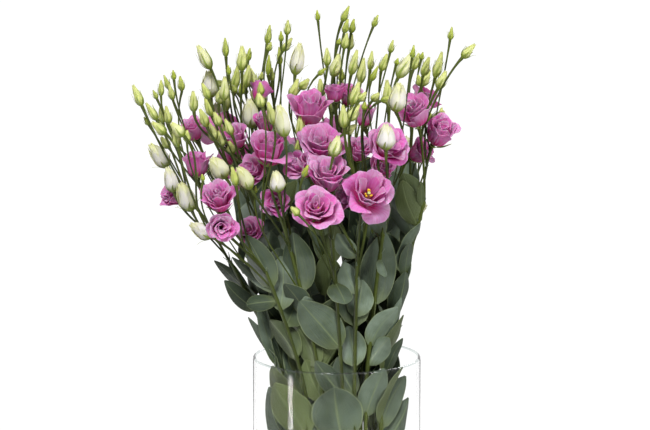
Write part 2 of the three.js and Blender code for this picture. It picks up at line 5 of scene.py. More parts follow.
import bpy
import numpy as np
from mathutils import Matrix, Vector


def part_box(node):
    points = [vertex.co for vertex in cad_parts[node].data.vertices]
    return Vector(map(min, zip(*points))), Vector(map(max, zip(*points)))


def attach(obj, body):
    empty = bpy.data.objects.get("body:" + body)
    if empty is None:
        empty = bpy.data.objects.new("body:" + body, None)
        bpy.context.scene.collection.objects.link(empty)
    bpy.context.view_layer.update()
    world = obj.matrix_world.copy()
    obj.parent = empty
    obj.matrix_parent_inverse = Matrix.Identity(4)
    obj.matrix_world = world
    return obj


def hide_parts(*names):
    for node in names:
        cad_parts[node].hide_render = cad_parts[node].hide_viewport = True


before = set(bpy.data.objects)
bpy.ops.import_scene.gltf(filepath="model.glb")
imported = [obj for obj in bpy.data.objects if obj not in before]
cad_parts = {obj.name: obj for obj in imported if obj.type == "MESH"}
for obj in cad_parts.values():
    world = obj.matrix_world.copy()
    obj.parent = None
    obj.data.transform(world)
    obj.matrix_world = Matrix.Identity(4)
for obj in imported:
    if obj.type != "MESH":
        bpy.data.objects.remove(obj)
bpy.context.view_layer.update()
millimetre = 0.001

# How the bunch is looked at: a picture of 650 columns and 430 rows, its middle aimed at a point
view = {"column": 325, "row": 215, "width": 650, "pixel": 1.183, "distance": 2500, "tilt": 8,
        "aim": (-14, 0, 419.2), "sensor": 36}

# The bunch gathers in the vase and fans out above it
bunch = {"crownX": -35, "crownY": 10, "gatherShare": 0.34, "gatherHeight": 200, "crownHeight": 500,
         "fanPower": 1.3, "lowestTop": 320, "belowCrown": 32}

# Clearances between what grows side by side, and how closely wood is sampled
rooms = {"stalk": 1.2, "flower": 1.5, "leaf": 0.8, "woodSpacing": 3, "lowestFork": 285, "belowTarget": 22,
         "atFork": 0.01}

# Where a stalk leaves the wood: at about this length below its bud, and not too flat. It may bow aside
stalks = {"length": 95, "smallLength": 150, "smallRadius": 0.75, "steepEnough": 0.35, "flatPenalty": 4,
          "tries": 40, "bows": (9, 17, 26), "bowTurns": 8, "bends": [0, 0.35, 0.7, 1],
          "reach": (0.12, 0.2, 0.3)}

# How far a flower or bud is moved in depth to stand clear, and the balls that stand for it
clearing = {"flowerStep": 6, "flowerSteps": 17, "flowerRadius": 0.4, "flowerBase": 0.42, "budStep": 7,
            "budSteps": 15, "budBalls": [[0.2], [0.5], [0.85]], "budSpread": 28, "budTurn": 2.4}

# Each spray is one cut stem.
# crown: millimetres right of the vase's axis and behind it.
# flowers: column, row and depth of the middle, width in mm, turn to the right and tilt up in degrees,
# and openness.
# buds: column and row of the base, column and row of the tip, width in columns,
# and the depth of one that stands before a flower; small ones grow last.
# leaves: row of the base on the stem, column and row of the tip, width in columns,
# how far the tip stands behind the base, and the face's turn to the right in degrees.
# back: how many more leaves stand round the side of the stem that the picture doesn't show.
frontSprays = [
    {"crown": (-205, -20), "back": 2,
     "flowers": [(174, 195, -30, 36, -60, 25, 0.5)],
     "buds": [
         (142, 106, 133, 85, 9), (157, 120, 146, 103, 8), (166, 134, 152, 122, 10),
         (168, 167, 150, 144, 15), (174, 192, 167, 167, 13), (192, 211, 180, 183, 17)],
     "smallBuds": [(149, 125, 144, 117, 5)],
     "leaves": [
         (290, 200, 261, 13, -10, -10), (310, 213, 284, 22, -30, -20), (298, 221, 259, 13, 10, 20),
         (362, 242, 320, 15, -10, -40), (366, 256, 305, 16, -20, 20)]},
    {"crown": (-140, -100), "back": 1,
     "flowers": [(219, 199, -110, 45, -10, 50, 0.5), (221, 227, -125, 36, 10, 5, 0.6)],
     "buds": [
         (212, 237, 190, 224, 14), (178, 147, 174, 128, 8), (184, 136, 171, 123, 11),
         (226, 178, 211, 158, 17), (236, 186, 232, 167, 8)],
     "smallBuds": [(187, 142, 187, 130, 7), (203, 181, 202, 174, 4)],
     "leaves": [
         (287, 243, 237, 28, -15, -10), (293, 226, 256, 11, 10, 25), (300, 236, 306, 16, -25, -30),
         (360, 268, 322, 24, -8, -30), (436, 271, 386, 38, -12, -20)]},
    {"crown": (-175, 60), "back": 3,
     "flowers": [(193, 130, 60, 34, -40, 60, 0.4), (197, 166, 10, 34, -10, 80, 0.2)],
     "buds": [(163, 123, 161, 105, 9), (169, 124, 166, 106, 8)],
     "smallBuds": [
         (157, 99, 153, 90, 5), (161, 96, 161, 80, 6.5), (169, 89, 164, 75, 6), (174, 80, 173, 70, 5),
         (182, 91, 180, 76, 7), (173, 100, 169, 84, 7), (169, 148, 161, 137, 9)],
     "leaves": []},
    {"crown": (-140, -20), "back": 2,
     "flowers": [
         (236, 138, 20, 36, -30, 50, 0.5), (254, 170, -50, 40, -30, 20, 0.6),
         (250, 232, -30, 38, -10, 30, 0.5)],
     "buds": [
         (194, 112, 193, 91, 9), (209, 99, 202, 83, 8), (212, 116, 205, 98, 9), (207, 127, 200, 109, 9),
         (215, 141, 209, 123, 10), (222, 148, 218, 131, 9), (232, 135, 225, 119, 8)],
     "smallBuds": [(220, 126, 214, 112, 8), (233, 154, 229, 141, 9)],
     "leaves": [(274, 270, 233, 28, -10, 10), (306, 258, 280, 20, -30, -20), (330, 262, 300, 22, -30, 10)]},
    {"crown": (-100, 70), "back": 3,
     "flowers": [(260, 92, 80, 32, 150, 60, 0.5)],
     "buds": [
         (219, 104, 223, 87, 11), (227, 111, 223, 86, 9), (226, 57, 225, 38, 7), (242, 71, 242, 46, 11),
         (234, 90, 238, 65, 9), (252, 128, 249, 99, 17)],
     "smallBuds": [(229, 75, 228, 65, 5), (241, 95, 242, 81, 7)],
     "leaves": []},
    {"crown": (-85, -95), "back": 0,
     "flowers": [(270, 150, -85, 45, 15, 60, 0.45), (277, 201, -50, 40, -15, 10, 0.6)],
     "buds": [
         (251, 189, 238, 167, 14), (279, 192, 275, 171, 14, -120), (274, 125, 268, 102, 9),
         (285, 137, 279, 105, 14, -115)],
     "smallBuds": [(255, 193, 256, 186, 4), (261, 95, 260, 82, 7), (262, 107, 258, 93, 9)],
     "leaves": [
         (292, 293, 233, 32, 0, -10), (316, 284, 284, 24, -20, -30), (330, 306, 298, 22, -14, 20),
         (365, 294, 323, 24, -10, -10), (400, 306, 360, 24, -14, 10)]},
    {"crown": (-75, 110), "back": 3,
     "flowers": [(265, 123, 40, 32, -10, 70, 0.4)],
     "buds": [(246, 88, 249, 65, 9), (267, 44, 270, 25, 7), (268, 75, 269, 55, 6), (280, 65, 279, 47, 6)],
     "smallBuds": [
         (248, 61, 250, 48, 6), (268, 51, 271, 42, 6), (272, 81, 272, 68, 6), (281, 42, 281, 31, 5),
         (287, 35, 288, 20, 7), (283, 51, 292, 38, 8), (261, 80, 262, 72, 6)],
     "leaves": []},
    {"crown": (-30, -20), "back": 2,
     "flowers": [(310, 110, -30, 48, 0, 65, 0.4)],
     "buds": [
         (295, 75, 300, 43, 13), (291, 98, 298, 79, 9), (300, 137, 300, 116, 9), (327, 66, 327, 48, 8)],
     "smallBuds": [(300, 89, 309, 79, 9), (297, 152, 298, 140, 6), (318, 75, 326, 68, 5)],
     "leaves": [(296, 326, 256, 28, -15, 10), (264, 335, 224, 22, 0, 0)]},
    {"crown": (-15, -110), "back": 0,
     "flowers": [
         (321, 145, -70, 58, 5, 50, 0.75), (316, 208, -150, 54, 0, 35, 0.9),
         (301, 167, -100, 40, -50, 30, 0.6)],
     "buds": [(333, 157, 338, 136, 12, -125)],
     "smallBuds": [(299, 215, 291, 207, 8, -172), (303, 177, 308, 165, 6), (313, 164, 313, 158, 4)],
     "leaves": [
         (348, 300, 303, 37, -12, -15), (284, 346, 302, 24, -30, 20), (396, 316, 362, 22, -6, 0),
         (440, 334, 388, 50, -8, 0)]},
    {"crown": (10, 85), "back": 3,
     "flowers": [(335, 94, 40, 26, 0, 80, 0.2), (350, 96, 80, 34, 40, 50, 0.5)],
     "buds": [(342, 22, 349, 6, 7), (333, 77, 339, 54, 12), (322, 96, 320, 79, 9), (333, 112, 338, 92, 9)],
     "smallBuds": [
         (318, 21, 317, 10, 5), (344, 33, 348, 19, 7), (351, 33, 354, 19, 7), (344, 49, 347, 33, 8),
         (349, 50, 352, 34, 8), (338, 45, 340, 38, 5), (373, 27, 378, 15, 6)],
     "leaves": []},
    {"crown": (25, -100), "back": 0,
     "flowers": [
         (327, 176, -115, 54, 5, 55, 0.6), (370, 191, -135, 62, 15, 35, 0.95),
         (347, 198, -75, 36, -60, 10, 0.5)],
     "buds": [(344, 128, 343, 105, 9), (349, 121, 359, 104, 10), (352, 105, 359, 82, 10)],
     "smallBuds": [(359, 101, 366, 92, 7), (364, 110, 365, 102, 6), (345, 133, 356, 125, 9)],
     "leaves": [
         (252, 337, 234, 18, -14, 10), (292, 344, 263, 22, -16, 20), (316, 362, 280, 26, -14, -10),
         (366, 348, 326, 27, -10, 0), (394, 338, 357, 25, -8, 10)]},
    {"crown": (50, 20), "back": 3,
     "flowers": [(364, 117, 10, 28, 0, 80, 0.2), (360, 150, 10, 38, 20, 50, 0.5)],
     "buds": [(351, 75, 357, 50, 9), (360, 84, 364, 58, 9), (370, 70, 372, 51, 7), (381, 71, 387, 54, 8)],
     "smallBuds": [(371, 81, 378, 66, 6), (390, 53, 393, 40, 6), (396, 65, 398, 58, 5)],
     "leaves": [(268, 352, 226, 24, -10, 0)]},
    {"crown": (65, -75), "back": 0,
     "flowers": [(388, 146, -95, 52, 25, 30, 0.8), (381, 168, -50, 36, 30, 30, 0.6)],
     "buds": [
         (386, 150, 386, 124, 16, -135), (388, 105, 387, 80, 10), (396, 112, 399, 83, 16),
         (398, 78, 412, 53, 12)],
     "smallBuds": [(372, 101, 379, 93, 8), (381, 101, 392, 97, 7), (412, 58, 414, 45, 5)],
     "leaves": [
         (305, 385, 233, 36, -8, 12), (258, 385, 277, 10, -30, 20), (346, 398, 308, 24, -14, 30),
         (364, 388, 339, 20, -16, -20), (416, 385, 371, 27, -8, 20)]},
    {"crown": (120, -20), "back": 1,
     "flowers": [(415, 113, -50, 44, -20, 50, 0.4), (440, 133, -20, 44, 30, 45, 0.4)],
     "buds": [(435, 78, 442, 52, 9), (438, 89, 446, 71, 10), (462, 58, 475, 44, 9), (423, 76, 429, 57, 9)],
     "smallBuds": [(450, 40, 452, 27, 6)],
     "leaves": [
         (226, 402, 182, 24, -20, -10), (206, 424, 184, 9, 0, 20), (276, 410, 243, 17, -10, 30),
         (318, 408, 275, 22, -10, 30), (346, 403, 300, 13, -12, 30), (376, 403, 339, 14, -12, 30),
         (428, 406, 377, 24, -6, 10)]},
    {"crown": (100, 60), "back": 3,
     "flowers": [(425, 98, 60, 40, 120, 55, 0.7), (421, 152, 20, 38, 60, 30, 0.6)],
     "buds": [(413, 70, 419, 53, 8), (422, 86, 430, 70, 9)],
     "smallBuds": [(421, 60, 423, 52, 5), (421, 86, 418, 75, 8)],
     "leaves": []},
]

# The far side's sprays are near ones turned half round the crown's line: which, the degrees, and how many
# of its small buds each keeps
turnedSprays = [(1, 172, 2), (5, 186, 3), (10, 186, 3), (12, 190, 2)]
leavesOnTurned = 3


def unit(vectors):
    return vectors / np.linalg.norm(vectors, axis=-1, keepdims=True)


def scatter(n):  # an even scatter of shares from 0 to 1
    return (n * 0.6180339887) % 1


def stepsOut(count):  # 0, -1, 1, -2, 2 ...
    return [(-1 if i % 2 else 1) * math.ceil(i / 2) for i in range(count)]


viewTilt = math.radians(view["tilt"])
rightward = np.array([1.0, 0, 0])
forward = np.array([0, math.cos(viewTilt), -math.sin(viewTilt)])
upward = np.array([0, math.sin(viewTilt), math.cos(viewTilt)])
zenith = np.array([0, 0, 1.0])
eye = np.array(view["aim"], float) - forward * view["distance"]


def fromPicture(column, row, depth):  # where a sight line reaches the given depth behind the vase's axis
    ray = (forward * view["distance"] + rightward * (column - view["column"]) * view["pixel"]
           + upward * (view["row"] - row) * view["pixel"])
    return eye + ray * (depth - eye[1]) / ray[1]


def seenAt(points):  # millimetres to the right and up in the picture, at the view's distance
    sight = points - eye
    seen = np.stack([sight @ rightward, sight @ upward], axis=-1)
    return seen * view["distance"] / (sight @ forward)[..., None]


def rowOf(points):  # the row of the picture in which points are seen
    return view["row"] - seenAt(points)[:, 1] / view["pixel"]


def turnAbout(vectors, degrees):  # turned round an upright line through the origin
    c, s = math.cos(math.radians(degrees)), math.sin(math.radians(degrees))
    return vectors @ np.array([[c, s, 0], [-s, c, 0], [0, 0, 1]])


def turnInCrown(points, degrees):
    line = np.array([bunch["crownX"], bunch["crownY"], 0])
    return turnAbout(points - line, degrees) + line


def inBunch(spray, column, row, depth):  # a place of the picture, turned with its spray
    return turnInCrown(fromPicture(column, row, depth), spray["spec"]["turn"])


# What already stands in the bunch, as balls, each with the number of its owner
mostBalls, widestBall, leafBall = 90000, 26, 0.5
taken = {"place": np.zeros((mostBalls, 3)), "radius": np.zeros(mostBalls), "owner": np.zeros(mostBalls, int),
         "count": 0}
leafOwner, firstFlowerOwner = -1, 100


def take(owner, points, radius):
    first, last = taken["count"], taken["count"] + len(points)
    for part, values in (("place", points), ("radius", radius), ("owner", owner)):
        taken[part][first:last] = values
    taken["count"] = last


def standing():  # the places, radii and owners of what stands there
    return [taken[part][:taken["count"]] for part in ("place", "radius", "owner")]


def freeOf(points, radius, room, owners=()):  # for each point, whether a ball there keeps its room
    place, size, owner = standing()
    reach = radius + room + widestBall
    near = np.all((place > points.min(0) - reach) & (place < points.max(0) + reach), axis=1)
    near &= ~np.isin(owner, owners)
    apart = np.linalg.norm(points[:, None] - place[near][None], axis=2)
    return np.all(apart > size[near] + radius + room, axis=1)


def stemAt(crown, heights):
    # upright in the vase, then out to the crown by a power of the height above the gathering
    rise = np.maximum(0, (heights - bunch["gatherHeight"]) / (bunch["crownHeight"] - bunch["gatherHeight"]))
    fan = rise ** bunch["fanPower"]
    share = bunch["gatherShare"] + (1 - bunch["gatherShare"]) * fan
    line = np.array([bunch["crownX"], bunch["crownY"]])
    return np.column_stack([line * fan[:, None] + share[:, None] * (crown[:2] - line), heights])


def pointsAlong(bends):  # points at nearly even steps along a bent line
    steps = np.diff(bends, axis=0, append=bends[-1:])
    counts = np.maximum(1, np.ceil(np.linalg.norm(steps, axis=1) / rooms["woodSpacing"])).astype(int)
    stretch = np.repeat(np.arange(len(bends)), counts)
    share = (np.arange(len(stretch)) - np.repeat(np.cumsum(counts) - counts, counts)) / counts[stretch]
    return bends[stretch] + steps[stretch] * share[:, None]


def headings(path):  # the direction of a path at each of its points
    return unit(np.vstack([path[1:], path[-1:]]) - np.vstack([path[:1], path[:-1]]))


def growWood(owner, points, radius):  # points of the wood, each with the wood's direction there
    take(owner, points, radius)
    return np.hstack([points, headings(points)])


def aboveFork(wood):  # the wood from which stalks may branch
    return wood[wood[:, 2] > rooms["lowestFork"]]


# Ends are a stalk's share of its radius at the foot, and by how much it widens into the calyx
stems = {"foot": 8.35, "footRadius": 3, "topRadius": 2, "flowerStalk": 1.6, "budStalk": 1.2,
         "flowerEnds": (0.9, 2.0), "budEnds": (0.8, 0.5), "rings": 84, "sides": 8, "stalkRings": 16,
         "stalkSides": 6, "nodeSwell": 0.3, "nodeLength": 3.5, "shownWidth": 1.22}


def makeSpray(number, spec):
    x, y = spec["crown"]
    places = [fromPicture(*mark[:2], y)[2] for mark in spec["flowers"] + spec["buds"]]
    top = max(bunch["lowestTop"], min(places) - bunch["belowCrown"])
    spray = {"number": number, "spec": spec, "top": top,
             "crown": turnInCrown(np.array([x, y, 0.0]), spec["turn"])}
    low = bunch["gatherHeight"]
    heights = np.array([stems["foot"], low, *(low + (top - low) * np.array([0.25, 0.5, 0.75, 1]))])
    spray["stemWood"] = growWood(number, pointsAlong(stemAt(spray["crown"], heights)), stems["footRadius"])
    spray["wood"] = aboveFork(spray["stemWood"])
    return spray


def placeFlower(spray, mark, number):
    # keeps its column and row, and moves in depth until it stands clear
    column, row, depth, width, turn, rise, openness = mark
    turn, rise = math.radians(turn), math.radians(rise)
    facing = np.array([math.sin(turn) * math.cos(rise), -math.cos(turn) * math.cos(rise), math.sin(rise)])
    facing = turnAbout(facing, spray["spec"]["turn"])
    radius = clearing["flowerRadius"] * width
    places = np.array([inBunch(spray, column, row, depth + clearing["flowerStep"] * n)
                       for n in stepsOut(clearing["flowerSteps"])])
    middle = places[np.argmax(freeOf(places, radius, rooms["flower"]))]
    take(firstFlowerOwner + number, middle[None], radius)
    return {"number": number, "width": width, "open": openness, "facing": facing,
            "base": middle - clearing["flowerBase"] * width * facing}


def placeBud(spray, mark, count):
    # spread in depth round the spray's crown, and moved on until it stands clear
    column, row, tipColumn, tipRow, width, *ownDepth = mark
    spread = clearing["budSpread"] * math.sin(clearing["budTurn"] * count + spray["number"])
    depth = ownDepth[0] if ownDepth else spray["spec"]["crown"][1] + spread
    radius = 0.5 * width * view["pixel"]
    choices = []
    for n in stepsOut(clearing["budSteps"]):
        base = inBunch(spray, column, row, depth + clearing["budStep"] * n)
        tip = inBunch(spray, tipColumn, tipRow, depth + clearing["budStep"] * n)
        choices.append({"base": base, "tip": tip, "radius": radius, "width": width,
                        "balls": base + (tip - base) * np.array(clearing["budBalls"])})
    clear = [bud for bud in choices if freeOf(bud["balls"], radius, rooms["stalk"]).all()]
    bud = (clear or choices)[0]
    take(spray["number"], bud["balls"], radius)
    return bud


def stalkCurve(wood, target, into, bow, shares):
    # a cubic curve that leaves the wood along it and arrives along its flower or bud
    reach = np.linalg.norm(wood[:3] - target)
    leaving, leaning, arriving = stalks["reach"]
    first = wood[:3] + wood[3:] * leaving * reach
    first = first + leaning * (target - first) + bow
    second = target - into * arriving * reach + bow
    t = np.asarray(shares)[:, None]
    return ((1 - t) ** 3 * wood[:3] + 3 * (1 - t) ** 2 * t * first + 3 * (1 - t) * t ** 2 * second
            + t ** 3 * target)


bowSizes = [0, *np.repeat(stalks["bows"], stalks["bowTurns"])]
bows = [turnAbout(rightward * size, 360 / stalks["bowTurns"] * i) for i, size in enumerate(bowSizes)]


def growStalk(spray, target, into, radius, owners=(), length=stalks["length"]):
    # the free stalk that is nearest to the usual length and not too flat
    wood = spray["wood"][spray["wood"][:, 2] < target[2] - rooms["belowTarget"]]
    aside = np.hypot(target[0] - wood[:, 0], target[1] - wood[:, 1])
    tooFlat = np.maximum(0, aside / (target[2] - wood[:, 2]) - stalks["steepEnough"])
    offLength = np.abs(np.linalg.norm(wood[:, :3] - target, axis=1) - length)
    cost = (offLength + rooms["belowTarget"]) * (1 + stalks["flatPenalty"] * tooFlat)
    choices = wood[np.argsort(cost, kind="stable")[:stalks["tries"]]]

    def path(wood, bow):
        return pointsAlong(stalkCurve(wood, target, into, bow, stalks["bends"]))

    own = [spray["number"], *owners]
    wood, bow = next(((wood, bow) for bow in bows for wood in choices
                      if freeOf(path(wood, bow), radius, rooms["stalk"], own).all()), (choices[0], bows[0]))
    spray["wood"] = np.vstack([spray["wood"], growWood(spray["number"], path(wood, bow), radius)])
    return {"wood": wood, "target": target, "into": into, "bow": bow, "radius": radius}


def endStem(spray):  # a stem ends where its highest stalk leaves it
    forks = np.array([piece["stalk"]["wood"][:3] for piece in spray["flowers"] + spray["buds"]])
    apart = np.linalg.norm(spray["stemWood"][:, None, :3] - forks[None], axis=2).min(axis=1)
    kept = spray["stemWood"][:np.flatnonzero(apart < rooms["atFork"])[-1] + 1]
    gone = np.arange(len(aboveFork(kept)), len(aboveFork(spray["stemWood"])))
    spray["wood"] = np.delete(spray["wood"], gone, axis=0)
    spray["stemWood"], spray["top"] = kept, kept[-1, 2]


# The tone of a leaf low in the bunch is darkened as painted shade, most of all for a leaf filled in behind
# the shown ones
leaves = {"thickness": 0.9, "rows": 15, "columns": 11, "fold": 0.22, "arch": 0.12, "tipCurl": 0.09,
          "curlDraw": (-0.3, 1.2), "wave": 0.035, "waves": 1.7, "sway": 0.05, "creaseRound": 2,
          "shadedLowTone": (0.55, 0.8), "shadedLowHeights": (240, 290), "tones": (0.15, 1), "vaseRoom": 12,
          "rimRoom": 3, "rimSlope": 1.4, "faceRise": 0.15, "shownStep": 7}
# The leaves of the side that the picture doesn't show: larger and steeper below
otherLeaves = {"length": 84, "width": 46, "shrink": 0.3, "lowest": 150, "highest": 390, "lean": 0.45,
               "turn": 40, "turnStep": 14, "outward": 30}
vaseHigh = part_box("vase")[1]
vaseRadius, vaseHeight = vaseHigh.x / millimetre, vaseHigh.z / millimetre
glass = {"wall": 4, "floor": 8, "footRound": 3, "innerRound": 7, "sides": 144, "arcSteps": 7}


def keepInVase(points, room=0):
    # everything near the rim and below it stays inside the glass, eased towards the wall, with more
    # room if asked
    free = vaseRadius - glass["wall"] - leaves["rimRoom"] - leaves["vaseRoom"] - room
    above = np.maximum(0, points[..., 2] - vaseHeight - glass["wall"])
    reach = leaves["vaseRoom"] + above * leaves["rimSlope"]
    radius = np.maximum(np.hypot(points[..., 0], points[..., 1]), 1e-6)
    held = free + reach * (1 - np.exp(-np.maximum(0, radius - free) / reach))
    scale = np.where(radius > free, held / radius, 1)
    return np.concatenate([points[..., :2] * scale[..., None], points[..., 2:]], axis=-1)


def leafFrom(base, tip, face, width, room=0):
    along = unit(tip - base)
    straight = unit(face - along * (face @ along))
    return {"base": base, "along": along, "face": straight, "side": np.cross(along, straight),
            "length": np.linalg.norm(tip - base), "width": width, "room": room}


def bendOf(leaf, share, side):  # how far a blade lies behind its chord: the arch of its length and its fold
    return leaves["arch"] * leaf["length"] * share * (1 - share) * 2 + leaves["fold"] * np.abs(side)


def bladePoints(leaf, share, side):
    return (leaf["base"] + leaf["along"] * (share * leaf["length"])[:, None] + leaf["side"] * side[:, None]
            - leaf["face"] * bendOf(leaf, share, side)[:, None])


def leafBalls(leaf):  # where the small balls that stand for it are: three across at four places along
    share = np.repeat([0.35, 0.5, 0.7, 0.9], 3)
    across = np.tile([-0.33, 0, 0.33], 4) * leaf["width"] * (1.2 - share)
    return keepInVase(bladePoints(leaf, share, across), leaf["room"])


def placeLeaf(choices, cost, mostCrossed):
    # the one that is crossed least, or none if even that one is crossed too often
    crossed = [cost(leaf) for leaf in choices]
    if not choices or min(crossed) > mostCrossed:
        return []
    leaf = choices[int(np.argmin(crossed))]
    take(leafOwner, leafBalls(leaf), leafBall)
    return [leaf]


def ballsCrossed(leaf):
    return np.count_nonzero(~freeOf(leafBalls(leaf), leafBall, rooms["leaf"]))


def frontFace(turn):  # turned to the right of the viewer, in degrees, and a little up
    return np.array([math.sin(math.radians(turn)), -math.cos(math.radians(turn)), leaves["faceRise"]])


def shownLeaf(spray, mark):
    row, tipColumn, tipRow, width, reach, turn = mark
    nearest = spray["stemWood"][np.argmin(np.abs(rowOf(spray["stemWood"][:, :3]) - row)), :3]
    face = frontFace(turn)
    base = nearest + face * 0.5 * stems["topRadius"]
    tips = [fromPicture(tipColumn, tipRow, base[1] + reach + leaves["shownStep"] * n) for n in stepsOut(9)]
    found = placeLeaf([leafFrom(base, tip, face, width * view["pixel"]) for tip in tips],
                      ballsCrossed, math.inf)
    keepInSight(found[0])
    return found


def stemPlace(spray, height):
    above = spray["stemWood"][spray["stemWood"][:, 2] >= height]
    return (above[0] if len(above) else spray["stemWood"][-1])[:3]


def otherLeaf(spray, k):  # left and right in turn of the stem's outer side, larger below
    look = otherLeaves
    share = (k + 0.8 * scatter(spray["number"] * 3)) / spray["spec"]["back"]
    base = stemPlace(spray, look["lowest"] + (look["highest"] - look["lowest"]) * share)
    size = (1 - look["shrink"] * share) * (0.85 + 0.3 * scatter(spray["number"] * 7 + k))
    outward = unit(np.array([spray["crown"][0] - bunch["crownX"],
                             abs(spray["crown"][1] - bunch["crownY"]) + look["outward"], 0]))
    hand = 1 if k % 2 else -1
    outs = [turnAbout(outward, hand * look["turn"] + look["turnStep"] * n) for n in stepsOut(13)]
    return placeLeaf([leafFrom(base, base + unit(zenith + out * look["lean"]) * look["length"] * size, out,
                               look["width"] * size) for out in outs], ballsCrossed, 0)


# The leaves that the solids leave out: opposite pairs up every stem, each pair a quarter turn on.
# They face out of the bunch, stand steeper the more they point out of it, though less so low down,
# and hide no leaf of the picture. In the vase they stand at different distances from the glass.
fillLeaves = {"lowest": 150, "spacing": 24, "spread": 12, "clearOfTop": 16, "length": (46, 88),
              "width": 0.6, "lean": (0.2, 1.3), "steepFrom": (230, 330), "outwardLean": (0.15, 0.72),
              "outwardFace": 0.9, "twist": 0.5, "sizeDraw": (0.6, 0.4), "mostCrossed": 1, "turnStep": 13,
              "turnSteps": 13, "firstTurn": 137, "rooms": (3, 16), "seed": 11}

shownPlaces = {"seen": np.zeros((0, 2)), "radius": np.zeros(0), "depth": np.zeros(0)}


def middleOf(leaf):
    return leaf["base"] + leaf["along"] * leaf["length"] / 2


def keepInSight(leaf):  # notes three discs along the middle of a leaf that the picture shows
    middle = leaf["base"] + leaf["along"] * leaf["length"] * np.array([[0.25], [0.5], [0.75]])
    shownPlaces["seen"] = np.vstack([shownPlaces["seen"], seenAt(middle)])
    shownPlaces["radius"] = np.append(shownPlaces["radius"], np.array([0.5, 0.55, 0.45]) * leaf["width"])
    shownPlaces["depth"] = np.append(shownPlaces["depth"], middle[:, 1])


def hidesAny(leaf):
    balls = leafBalls(leaf)
    apart = np.linalg.norm(seenAt(balls)[:, None] - shownPlaces["seen"][None], axis=2)
    return np.any((apart < shownPlaces["radius"]) & (balls[:, None, 1] < shownPlaces["depth"]))


# When a blade is crossed: what its search takes in beyond it, how close touches, the share of its length
# that its own stem may touch, how far a passing blade stands on both sides, and what passing counts
crossing = {"around": 1, "bladeReach": 42, "touch": 0.7, "foot": 0.4, "through": 0.3, "passing": 2}
blades = []
bladeMiddles = np.zeros((2000, 3))


def addBlades(found):
    for leaf in found:
        bladeMiddles[len(blades)] = middleOf(leaf)
        blades.append(leaf)


def heightOver(leaf, points):
    # whether points lie over the blade, an ellipse here, at what share of its length and how high
    local = points - leaf["base"]
    share, side = local @ leaf["along"] / leaf["length"], local @ leaf["side"]
    over = (2 * share - 1) ** 2 + (2 * side / leaf["width"]) ** 2 < 1
    return over, share, local @ leaf["face"] + bendOf(leaf, share, side)


def bladeGrid(leaf):  # points all over the blade, short of its ends and edges
    share, across = np.meshgrid(np.linspace(0.12, 0.97, 9), np.linspace(-0.45, 0.45, 5))
    share, across = share.ravel(), across.ravel()
    return bladePoints(leaf, share, across * leaf["width"] * np.sin(np.pi * share) ** 0.5)


def crossings(leaf, own):
    # what touches the blade, apart from its own stem near its foot, and the blades that it passes through
    places, radii, owners = standing()
    reach = leaf["length"] / 2
    near = np.all(np.abs(places - middleOf(leaf)) < reach + radii[:, None] + crossing["around"], axis=1)
    near &= owners != leafOwner
    over, share, height = heightOver(leaf, places[near])
    touched = over & (np.abs(height) < radii[near] + crossing["touch"])
    touched &= (share > crossing["foot"]) | (owners[near] != own)
    apart = np.linalg.norm(bladeMiddles[:len(blades)] - middleOf(leaf), axis=1)
    passed = 0
    for k in np.flatnonzero(apart < reach + crossing["bladeReach"]):
        over, _, height = heightOver(blades[k], bladeGrid(leaf))
        passed += over.any() and min(-height[over].min(), height[over].max()) > crossing["through"]
    return len(np.unique(owners[near][touched])) + crossing["passing"] * passed


def pairOfLeaves(spray, height, turn, draw):
    look = fillLeaves
    base = stemPlace(spray, height)
    outward = unit((base - np.array([bunch["crownX"] * 0.5, 0, 0])) * np.array([1, 1, 0]))
    low, high = look["length"]
    size = high - (high - low) * min(1, height / bunch["crownHeight"]) * (
        look["sizeDraw"][0] + look["sizeDraw"][1] * draw.random())
    outwardLean = np.interp(height, look["steepFrom"], look["outwardLean"])
    pair = []
    for hand in (0, 180):
        share, twist = draw.random(), draw.uniform(-1, 1) * look["twist"]
        room = draw.uniform(*look["rooms"])
        choices = []
        for n in stepsOut(look["turnSteps"]):
            out = turnAbout(rightward, turn + hand + look["turnStep"] * n)
            steeper = 1 - outwardLean * max(0, out @ outward)
            lean = (look["lean"][0] + (look["lean"][1] - look["lean"][0]) * share) * steeper
            tip = base + unit(zenith + out * lean) * size
            face = out + outward * look["outwardFace"] + twist * turnAbout(out, 90)
            choices.append(leafFrom(base, tip, face, size * look["width"], room))
        found = placeLeaf([leaf for leaf in choices if not hidesAny(leaf)],
                          lambda leaf: crossings(leaf, spray["number"]), look["mostCrossed"])
        addBlades(found)
        pair += found
    return pair


# Leaves that widen the bunch inside the glass, as the picture shows there, on the outermost stems:
# the stem, the height of the foot, where the tip is seen and how deep, the width and the turn to one side
sideStep, sideSteps = 6, 11
sideLeaves = [(0, 130, 265, 391, -34, 44, -25), (0, 172, 268, 368, -16, 38, -35),
              (2, 150, 262, 404, 14, 42, -40), (13, 130, 413, 398, -6, 34, 25),
              (14, 150, 411, 378, 22, 36, 30)]


def sideLeaf(spray, height, column, row, depth, width, turn):
    base = stemPlace(spray, height)
    choices = [leafFrom(base, fromPicture(column, row, depth + sideStep * n), frontFace(turn), width,
                        fillLeaves["rooms"][0]) for n in stepsOut(sideSteps)]
    addBlades([min(choices, key=lambda leaf: crossings(leaf, spray["number"]))])
    return blades[-1:]


def budStalk(spray, bud, radius, *length):
    return growStalk(spray, bud["base"], unit(bud["tip"] - bud["base"]), radius, (), *length)


